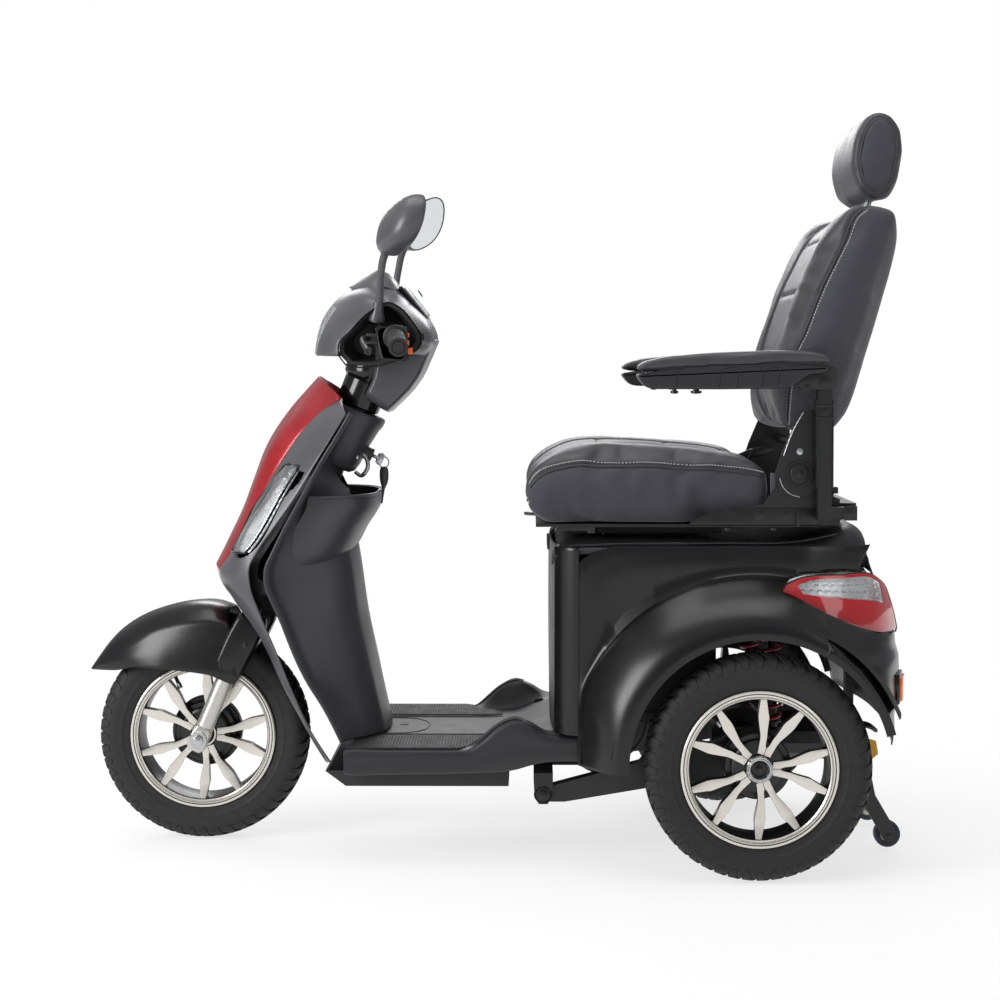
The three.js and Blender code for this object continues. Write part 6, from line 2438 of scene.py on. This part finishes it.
class SCOOTER_OT_cushion(bpy.types.Operator):
    """The seat cushion: leather top between two bolsters, cloth sides, white stitching"""

    bl_idname = "scooter.cushion"
    bl_label = "Seat cushion"

    def execute(self, context):
        sizes = context.scene.scooter_sizes
        leather, cloth = finish_of("leather"), finish_of("side_cloth")
        form = pad_form("seat_pad", CUSHION, 0, 240, 24, 4)
        cushion = filled(form, 6.0, sizes.cushion_swell * 1000, 631.2)
        dished(cushion, (0, 0, 1), 9, 96, 176)
        upper = [(-78, 738), (-104, 752), (-170, 760), (-300, 756), (-430, 746), (-516, 737)]
        inner = [
            [(-58, side * 128, 700)] + [(x, side * (128 if x > -400 else 120), z + 2) for x, z in upper]
            for side in (1, -1)
        ]
        cross = [[(x, y, 757) for y in np.linspace(-122, 122, 9)] for x in (-214, -348)]
        seam_lines = [laid_on(cushion, line)[0] for line in inner + cross]
        edge_lines = [[(x, side * 240, z - 1) for x, z in CUSHION_SEAM] for side in (1, -1)]
        front = [[(-60, y, 668) for y in np.linspace(-225, 225, 13)]]
        seam_lines += [laid_on(cushion, line)[0] for line in edge_lines + front]
        cord = welt("cushion_welt", cushion, edge_lines + front, 1.7, -0.9)
        sunk(cushion, seam_lines, 6.0, 3.6)
        height = seam_height(CUSHION_SEAM)

        def choose(face):
            x, y, z = face.center * 1000
            if abs(y) > 205 and abs(face.normal.y) > 0.42 and z < height(x) - 1:
                return 1
            return 1 if face.normal.z < -0.6 or (x > -110 and z < 668 and abs(y) < 236) else 0

        painted(cushion, [leather, cloth], choose)
        dress(cushion, "seat", None, "seat_vinyl", ["seat_cushion"], 60)
        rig.padded(cushion, fill=0.8)
        dress(cord, "seat", leather, "seat_vinyl", smooth=60)
        above = [
            [(x + (4 if k < 2 else 0), side * 238.5, z + 6.5) for k, (x, z) in enumerate(CUSHION_SEAM)]
            for side in (1, -1)
        ]
        pitch = sizes.stitch * 1000
        rows = stitched("cushion_stitching", cushion, above, pitch, pitch * 0.66, 0.85)
        dress(rows, "seat", "thread", "seat_vinyl", smooth=40)
        tone = stitched(
            "cushion_topstitching", cushion,
            [
                [(x, y + (5 if y > 0 else -5), z) for x, y, z in line]
                for line in inner
            ] + [[(x + 6, y, z) for x, y, z in line] for line in cross],
            6.0, 4.0, 0.7
        )
        dress(tone, "seat", cloth, "seat_vinyl", smooth=40)
        straps = []
        for _, side in SIDES:
            strap = panel(
                "webbing",
                [
                    [(x, side * y, z) for x, y in ((-516, 229), (-519, 238), (-526, 241.5), (-531, 240), (-533, 228))]
                    for z in (724, 708, 690, 672, 660)
                ],
                (-500, 0, 690), 1.6, (4, 3), edge=0.4
            )
            straps.append(strap)
        band = named(joined(*straps), "cushion_webbing")
        dress(band, "seat", cloth, "seat_vinyl", smooth=50)
        return {"FINISHED"}


class SCOOTER_OT_backrest(bpy.types.Operator):
    """The backrest: leather front with bolsters, cloth sides and back, white stitching"""

    bl_idname = "scooter.backrest"
    bl_label = "Backrest"

    def execute(self, context):
        sizes = context.scene.scooter_sizes
        leather, cloth = finish_of("leather"), finish_of("side_cloth")
        back = filled(pad_form("back_pad", BACKREST, 0, 232, 20, 2), 6.0, sizes.cushion_swell * 1000)
        dished(back, tuple(np.array([0.95, 0, 0.31])), 16, 92, 178)
        sides = [[(x, side * 232, z) for x, z in BACKREST_SEAM] for side in (1, -1)]
        inner = [
            [
                (x + 3, side * y, z)
                for (x, z), y in zip(BACKREST_SEAM, (112, 118, 124, 126, 126, 124, 120, 114, 106, 96))
            ]
            for side in (1, -1)
        ]
        cross = [[(x, y, z) for y in np.linspace(-118, 118, 9)] for x, z in ((-556, 930), (-596, 1052), (-640, 1150))]
        top = [[(-690, y, 1216) for y in np.linspace(-222, 222, 13)]]
        cord = welt("back_welt", back, sides + top, 1.6, -1.0)
        sunk(back, [laid_on(back, line)[0] for line in sides + inner + cross + top], 6.0, 3.8)
        edge = sorted((z, x) for x, z in BACKREST_SEAM)

        def choose(face):
            x, y, z = face.center * 1000
            limit = float(np.interp(z, [p[0] for p in edge], [p[1] for p in edge]))
            if abs(y) > 200 and abs(face.normal.y) > 0.42:
                return 1 if x < limit - 1 else 0
            return 1 if x < limit - 14 and face.normal.z < 0.75 else 0

        painted(back, [leather, cloth], choose)
        dress(back, "back", None, "seat_vinyl", ["backrest"], 60)
        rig.padded(back, fill=0.75)
        dress(cord, "back", leather, "seat_vinyl", smooth=60)
        pitch = sizes.stitch * 1000
        near = [[(x - 7, side * 231, z - 3) for x, z in BACKREST_SEAM] for side in (1, -1)]
        rows = stitched("back_stitching", back, near, pitch, pitch * 0.66, 0.85)
        dress(rows, "back", "thread", "seat_vinyl", smooth=40)
        tone = stitched(
            "back_topstitching", back,
            [
                [(x + 4, y + (6 if y > 0 else -6), z) for x, y, z in line]
                for line in inner
            ] + [[(x, y, z + 6) for x, y, z in line] for line in cross],
            6.0, 4.0, 0.7
        )
        dress(tone, "back", cloth, "seat_vinyl", smooth=40)
        return {"FINISHED"}


class SCOOTER_OT_headrest(bpy.types.Operator):
    """The headrest: a leather band round an oval cloth side, on two rods"""

    bl_idname = "scooter.headrest"
    bl_label = "Headrest"

    def execute(self, context):
        leather, cloth = finish_of("leather"), finish_of("side_cloth")
        head = filled(pad_form("head_pad", HEADREST, 0, 130, 20, 0, 100), 5.0, 13)
        loop, out = even(HEADREST, 60)
        middle = loop.mean(0)
        ring = loop - out * 9.5
        oval = [[(x, side * 131, z) for x, z in np.vstack([ring, ring[:2]])] for side in (1, -1)]
        cord = welt("head_welt", head, oval, 1.5, -0.6)
        sunk(head, [laid_on(head, line)[0] for line in oval], 4.5, 2.4)
        reach = np.linalg.norm(ring - middle, axis=1)
        way = np.arctan2(ring[:, 1] - middle[1], ring[:, 0] - middle[0])
        order = np.argsort(way)

        def choose(face):
            x, y, z = face.center * 1000
            limit = np.interp(math.atan2(z - middle[1], x - middle[0]), way[order], reach[order], period=2 * math.pi)
            return 1 if abs(y) > 90 and abs(face.normal.y) > 0.3 and math.hypot(
                x - middle[0], z - middle[1]
            ) < limit else 0

        painted(head, [leather, cloth], choose)
        dress(head, "head_pad", None, "seat_vinyl", ["headrest"], 60)
        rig.padded(head, fill=0.85)
        dress(cord, "head_pad", leather, "seat_vinyl", smooth=60)
        lean = math.radians(10)
        rods = named(
            joined(
                *[
                    pin(
                        "rod", (-712 + math.sin(lean) * 90, y, 1170 - math.cos(lean) * 90),
                        (-712 - math.sin(lean) * 72, y, 1170 + math.cos(lean) * 72), 6, 24, 1.2
                    )
                    for y in (62, -62)
                ]
            ),
            "headrest_rods"
        )
        dress(rods, "head_pad", "chrome", "frame_paint", smooth=40)
        collars = named(
            joined(
                *[
                    turned(
                        "collar", [(6.6, 0), (12, 0), (12.6, 3), (11, 6), (6.6, 6.6)], (-722.5, y, 1212),
                        (-math.sin(lean), 0, math.cos(lean)), 32
                    )
                    for y in (62, -62)
                ]
            ),
            "headrest_collars"
        )
        dress(collars, "back", "gloss_trim", "body_black", smooth=40)
        return {"FINISHED"}


class SCOOTER_OT_armrests(bpy.types.Operator):
    """The armrests: soft pads on moulded shells, their brackets and pivots"""

    bl_idname = "scooter.armrests"
    bl_label = "Armrests"

    def execute(self, context):
        px, pz = ARM_PIVOT
        for name, side in SIDES:
            soft = filled(pad_form("arm_pad_" + name, ARM_PAD, side * 275, 31.5, 8, 0.6, 140), 3.6, 4)
            dress(soft, f"{name}_armrest", "leather", "seat_vinyl", smooth=60)
            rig.padded(soft, fill=0.95)
            loop, out = even(ARM_SHELL, 150, 2)
            rings = []
            for y, inset in (
                (-29.5, 5.5), (-29.5, 3.5), (-28.5, 1.2), (-26.5, 0), (26.5, 0), (28.5, 1.2), (29.5, 3.5), (29.5, 5.5)
            ):
                ring = loop - out * inset
                rings.append([(x, side * 275 + y, z) for x, z in ring])
            core = plate(
                "core", [(-290, 900), (-330, 925), (-460, 936), (-596, 936), (-598, 912), (-540, 900)],
                *span(side, 251, 299), 0
            )
            shell = named(joined(rounded(skinned("arm_shell_" + name, rings), 0.5, 1, 60), core), "arm_shell_" + name)
            dress(shell, f"{name}_armrest", "trim", "body_black", [f"armrest_{name}"], 30)
            marks = []
            for face in (1, -1):
                y = side * 275 + face * 29.6
                marks.append(rod("mark", [(-339, y, 880), (-341, y, 896), (-344, y, 912)], 0.8, 4, 2))
                for x0, x1 in ((-416, -452), (-492, -524)):
                    marks.append(
                        rod(
                            "mark",
                            [
                                (x0, y, 880), (x0 - 4, y, 904), (x0 - 8, y, 912), (x0 - 15, y, 915), (x1 + 4, y, 915),
                                (x1, y, 909), (x1 + 3, y, 896), (x1 + 5, y, 880)
                            ],
                            0.8, 5, 2
                        )
                    )
            outline = named(joined(*marks), "arm_mouldings_" + name)
            dress(outline, f"{name}_armrest", "gloss_trim", "body_black", smooth=40)
            ears = []
            for a, b in ((256, 261.2), (288.8, 293.6)):
                low, high = span(side, a, b)
                ears.append(
                    plate(
                        "ear",
                        [
                            (px - 21, pz - 13), (px + 40, pz - 13), (px + 54, pz - 3), (px + 40, pz + 17),
                            (px + 10, pz + 24), (px - 10, pz + 30), (px - 21, pz + 24)
                        ],
                        low, high, 1.0
                    )
                )
            ears.append(pin("pivot", (px, side * 257, pz), (px, side * 296, pz), 7, 32, 0.8))
            ears.append(bolt("pivot_head", (px, side * 293.8, pz), (0, side, 0), 8.5, 5))
            ears.append(bolt("stop", (px + 33, side * 289, pz - 9), (0, side, 0), 6, 6))
            ears.append(block("bridge", *sided(side, (px + 22, 256, pz - 13), (px + 42, 294, pz - 9.5)), 0.8))
            bracket = named(joined(*ears), "arm_bracket_" + name)
            dress(bracket, f"{name}_armrest", "frame_coat", "frame_paint", smooth=35)
            knobs = []
            for x, w in ((-338, 7), (-377, 10)):
                knobs.append(
                    turned(
                        "knob",
                        [(0.5, 0), (w * 0.55, 0), (w * 0.55, -3), (w, -3.4), (w, -7), (w * 0.6, -8.5), (0.5, -8.5)],
                        (x, side * 275, 877), (0, 0, 1), 24
                    )
                )
            under = named(joined(*knobs), "arm_knobs_" + name)
            dress(under, f"{name}_armrest", "gloss_trim", "body_black", smooth=35)
            sleeve = joined(
                block("sleeve", *sided(side, (px - 15.2, 260, 700), (px - 13, 290, 858)), 0.8),
                block("sleeve", *sided(side, (px + 13, 260, 700), (px + 15.2, 290, 858)), 0.8),
                block("band", *sided(side, (px - 15.4, 259.6, 823), (px + 15.4, 290.4, 827)), 1.2),
                block("band", *sided(side, (px - 15.4, 259.6, 845), (px + 15.4, 290.4, 850)), 1.2),
                bolt("grub", (px, side * 287.6, 836), (0, side, 0), 5, 4),
                block("foot_cap", *sided(side, (-664, 287.6, 642), (-640, 289.4, 668)), 0.8),
                bolt("foot_bolt", (-652, side * 289.2, 656), (0, side, 0), 7, 5),
            )
            named(sleeve, "post_sleeve_" + name)
            dress(sleeve, "seat", "frame_coat", "frame_paint", smooth=35)
        return {"FINISHED"}


class SCOOTER_OT_seat_hardware(bpy.types.Operator):
    """Recline knobs, plates, rails, bolts and the adjuster handles under the seat"""

    bl_idname = "scooter.seat_hardware"
    bl_label = "Seat hardware"

    def execute(self, context):
        coat = finish_of("frame_coat")
        for name, side in SIDES:
            hx, _, hz = HINGE[0], 0, HINGE[1]
            knob = joined(
                turned(
                    "knob",
                    [
                        (0.5, 0), (24, 0), (24.6, 1.2), (24, 2.6), (20.5, 2.6), (19.5, 1.6), (17.5, 1.6), (16.5, 4),
                        (15, 5), (12, 5), (11, 3), (0.5, 3)
                    ],
                    (hx, side * 254.6, hz), (0, side, 0), 56
                ),
                bolt("knob_nut", (hx, side * 257.4, hz), (0, side, 0), 8, 4, False)
            )
            named(knob, "recline_knob_" + name)
            dress(knob, "back", coat, "frame_paint", smooth=35)
            # A bright plated rod along the edge of the black wing plate: a painted highlight on that edge; the bolt and
            # the fold line share its finish.
            edge = rod(
                "wing_edge", [(-537, side * 254.8, 756), (-556, side * 254.8, 806), (-572, side * 254.8, 834)], 1.3,
                3, 3
            )
            small = bolt("wing_bolt", (-566, side * 254.6, 764), (0, side, 0), 4.5, 3)
            arc = rod(
                "wing_fold",
                [
                    (-530, side * 254.8, 716), (-536, side * 254.8, 700), (-548, side * 254.8, 688),
                    (-566, side * 254.8, 682)
                ],
                0.9, 5, 3
            )
            wing = named(joined(edge, small, arc), "wing_detail_" + name)
            dress(wing, "back", "chrome", "frame_paint", smooth=40)
            low, high = span(side, 249.2, 252.2)
            lower = plate(
                "seat_bracket",
                [(-366, 631), (-374, 641), (-398, 650), (-440, 658), (-500, 661), (-600, 661), (-600, 631)], low,
                high, 0.8
            )
            lip = plate(
                "seat_bracket_lip", [(-366, 630), (-600, 630), (-600, 627.6), (-366, 627.6)], *span(side, 236, 254),
                0.6
            )
            pins = [bolt("pin", (x, side * 252, 649), (0, side, 0), r, 3.5) for x, r in ((-496, 9), (-542, 7))]
            tabs = [bolt("tab", (x, side * 244, 626), (0, 0, -1), 6, 5) for x in (-437, -520)]
            tabs.append(block("stay", *sided(side, (-566, 250, 629), (-560, 256, 660)), 0.8))
            lower = named(joined(lower, lip, *pins, *tabs), "seat_bracket_" + name)
            dress(lower, "seat", coat, "frame_paint", smooth=35)
            gusset = plate(
                "seat_gusset", [(-598, 661), (-612, 676), (-624, 684), (-640, 678), (-640, 662)],
                *span(side, 240, 248), 1.0
            )
            dress(gusset, "seat", coat, "frame_paint")
            named(gusset, "seat_gusset_" + name)
        spine = named(
            joined(
                block("clip", (-650, 150, 682), (-628, 170, 694), 1.2),
                block("clip_foot", (-642, 154, 671), (-634, 166, 683), 1.0),
                bolt("bar_bolt", (-652, 255.4, 656), (0, 1, 0), 7, 4, False)
            ),
            "crossbar_clip"
        )
        dress(spine, "seat", coat, "frame_paint")
        latch = joined(
            plate(
                "latch", [(-500, 734), (-526, 746), (-572, 756), (-580, 746), (-562, 735), (-520, 726)], -214, -206,
                1.2
            ),
            rod("latch_spring", [(-540, -204, 750), (-532, -204, 738), (-526, -204, 727)], 2, 4, 3)
        )
        named(latch, "far_recline_lever")
        dress(latch, "seat", coat, "frame_paint", smooth=35)
        slide = named(
            joined(
                *[block("rail_stop", *sided(s, (-444, 95, 613), (-440.5, 121, 623)), 0.6) for s in (1, -1)],
                rod("slide_lever", [(-96, -150, 618), (-84, -170, 617), (-74, -190, 616), (-70, -196, 616)], 4, 4, 4)
            ),
            "slide_adjuster"
        )
        dress(slide, "seat", coat, "frame_paint", smooth=35)
        return {"FINISHED"}


class SCOOTER_OT_frame_finishes(bpy.types.Operator):
    """Finishes of the frame parts that keep their own shape"""

    bl_idname = "scooter.frame_finishes"
    bl_label = "Frame finishes"

    def execute(self, context):
        finish_names = {
            "key": "chrome", "horn_button": "orange", "freewheel_lever": "yellow", "battery_pack": "trim",
            "belly_pan": "trim", "brake_lever_left": "gloss_trim", "brake_lever_right": "gloss_trim",
            "key_fob": "rubber", "seat_lever": "gloss_trim"
        }
        for name, obj in frame["nodes"].items():
            obj.data.materials.clear()
            obj.data.materials.append(finish_of(finish_names.get(name, "frame_coat")))
        return {"FINISHED"}


PIECES = (
    SCOOTER_OT_stage, SCOOTER_OT_frame_finishes, SCOOTER_OT_tyres, SCOOTER_OT_wheels, SCOOTER_OT_fork,
    SCOOTER_OT_mudguard, SCOOTER_OT_front_body, SCOOTER_OT_leg_shield, SCOOTER_OT_head, SCOOTER_OT_controls,
    SCOOTER_OT_key, SCOOTER_OT_floor, SCOOTER_OT_rear_body, SCOOTER_OT_tail_lamps, SCOOTER_OT_rear_frame,
    SCOOTER_OT_cushion, SCOOTER_OT_backrest, SCOOTER_OT_headrest, SCOOTER_OT_armrests, SCOOTER_OT_seat_hardware
)


class SCOOTER_PT_pieces(bpy.types.Panel):
    bl_label = "Mobility scooter"
    bl_idname = "SCOOTER_PT_pieces"
    bl_space_type = "VIEW_3D"
    bl_region_type = "UI"
    bl_category = "Scooter"

    def draw(self, context):
        for group in (context.scene.scooter_sizes, context.scene.scooter_colours):
            for name in group.__annotations__:
                self.layout.prop(group, name)
        for piece in PIECES:
            self.layout.operator(piece.bl_idname)


CLASSES = (ScooterSizes, ScooterColours, *PIECES, SCOOTER_PT_pieces)


def register():
    for cls in CLASSES:
        bpy.utils.register_class(cls)
    bpy.types.Scene.scooter_sizes = bpy.props.PointerProperty(type=ScooterSizes)
    bpy.types.Scene.scooter_colours = bpy.props.PointerProperty(type=ScooterColours)


def unregister():
    del bpy.types.Scene.scooter_sizes, bpy.types.Scene.scooter_colours
    for cls in reversed(CLASSES):
        bpy.utils.unregister_class(cls)


def main():
    register()
    for piece in PIECES:
        group, name = piece.bl_idname.split(".")
        getattr(getattr(bpy.ops, group), name)()
    deselect()
    with open("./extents.json", "w") as out:
        json.dump({"cad": [list(map(float, p)) for p in CAD_BOX], "visual": [list(map(float, p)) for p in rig.bounds()]}, out)


if __name__ == "__main__":
    main()
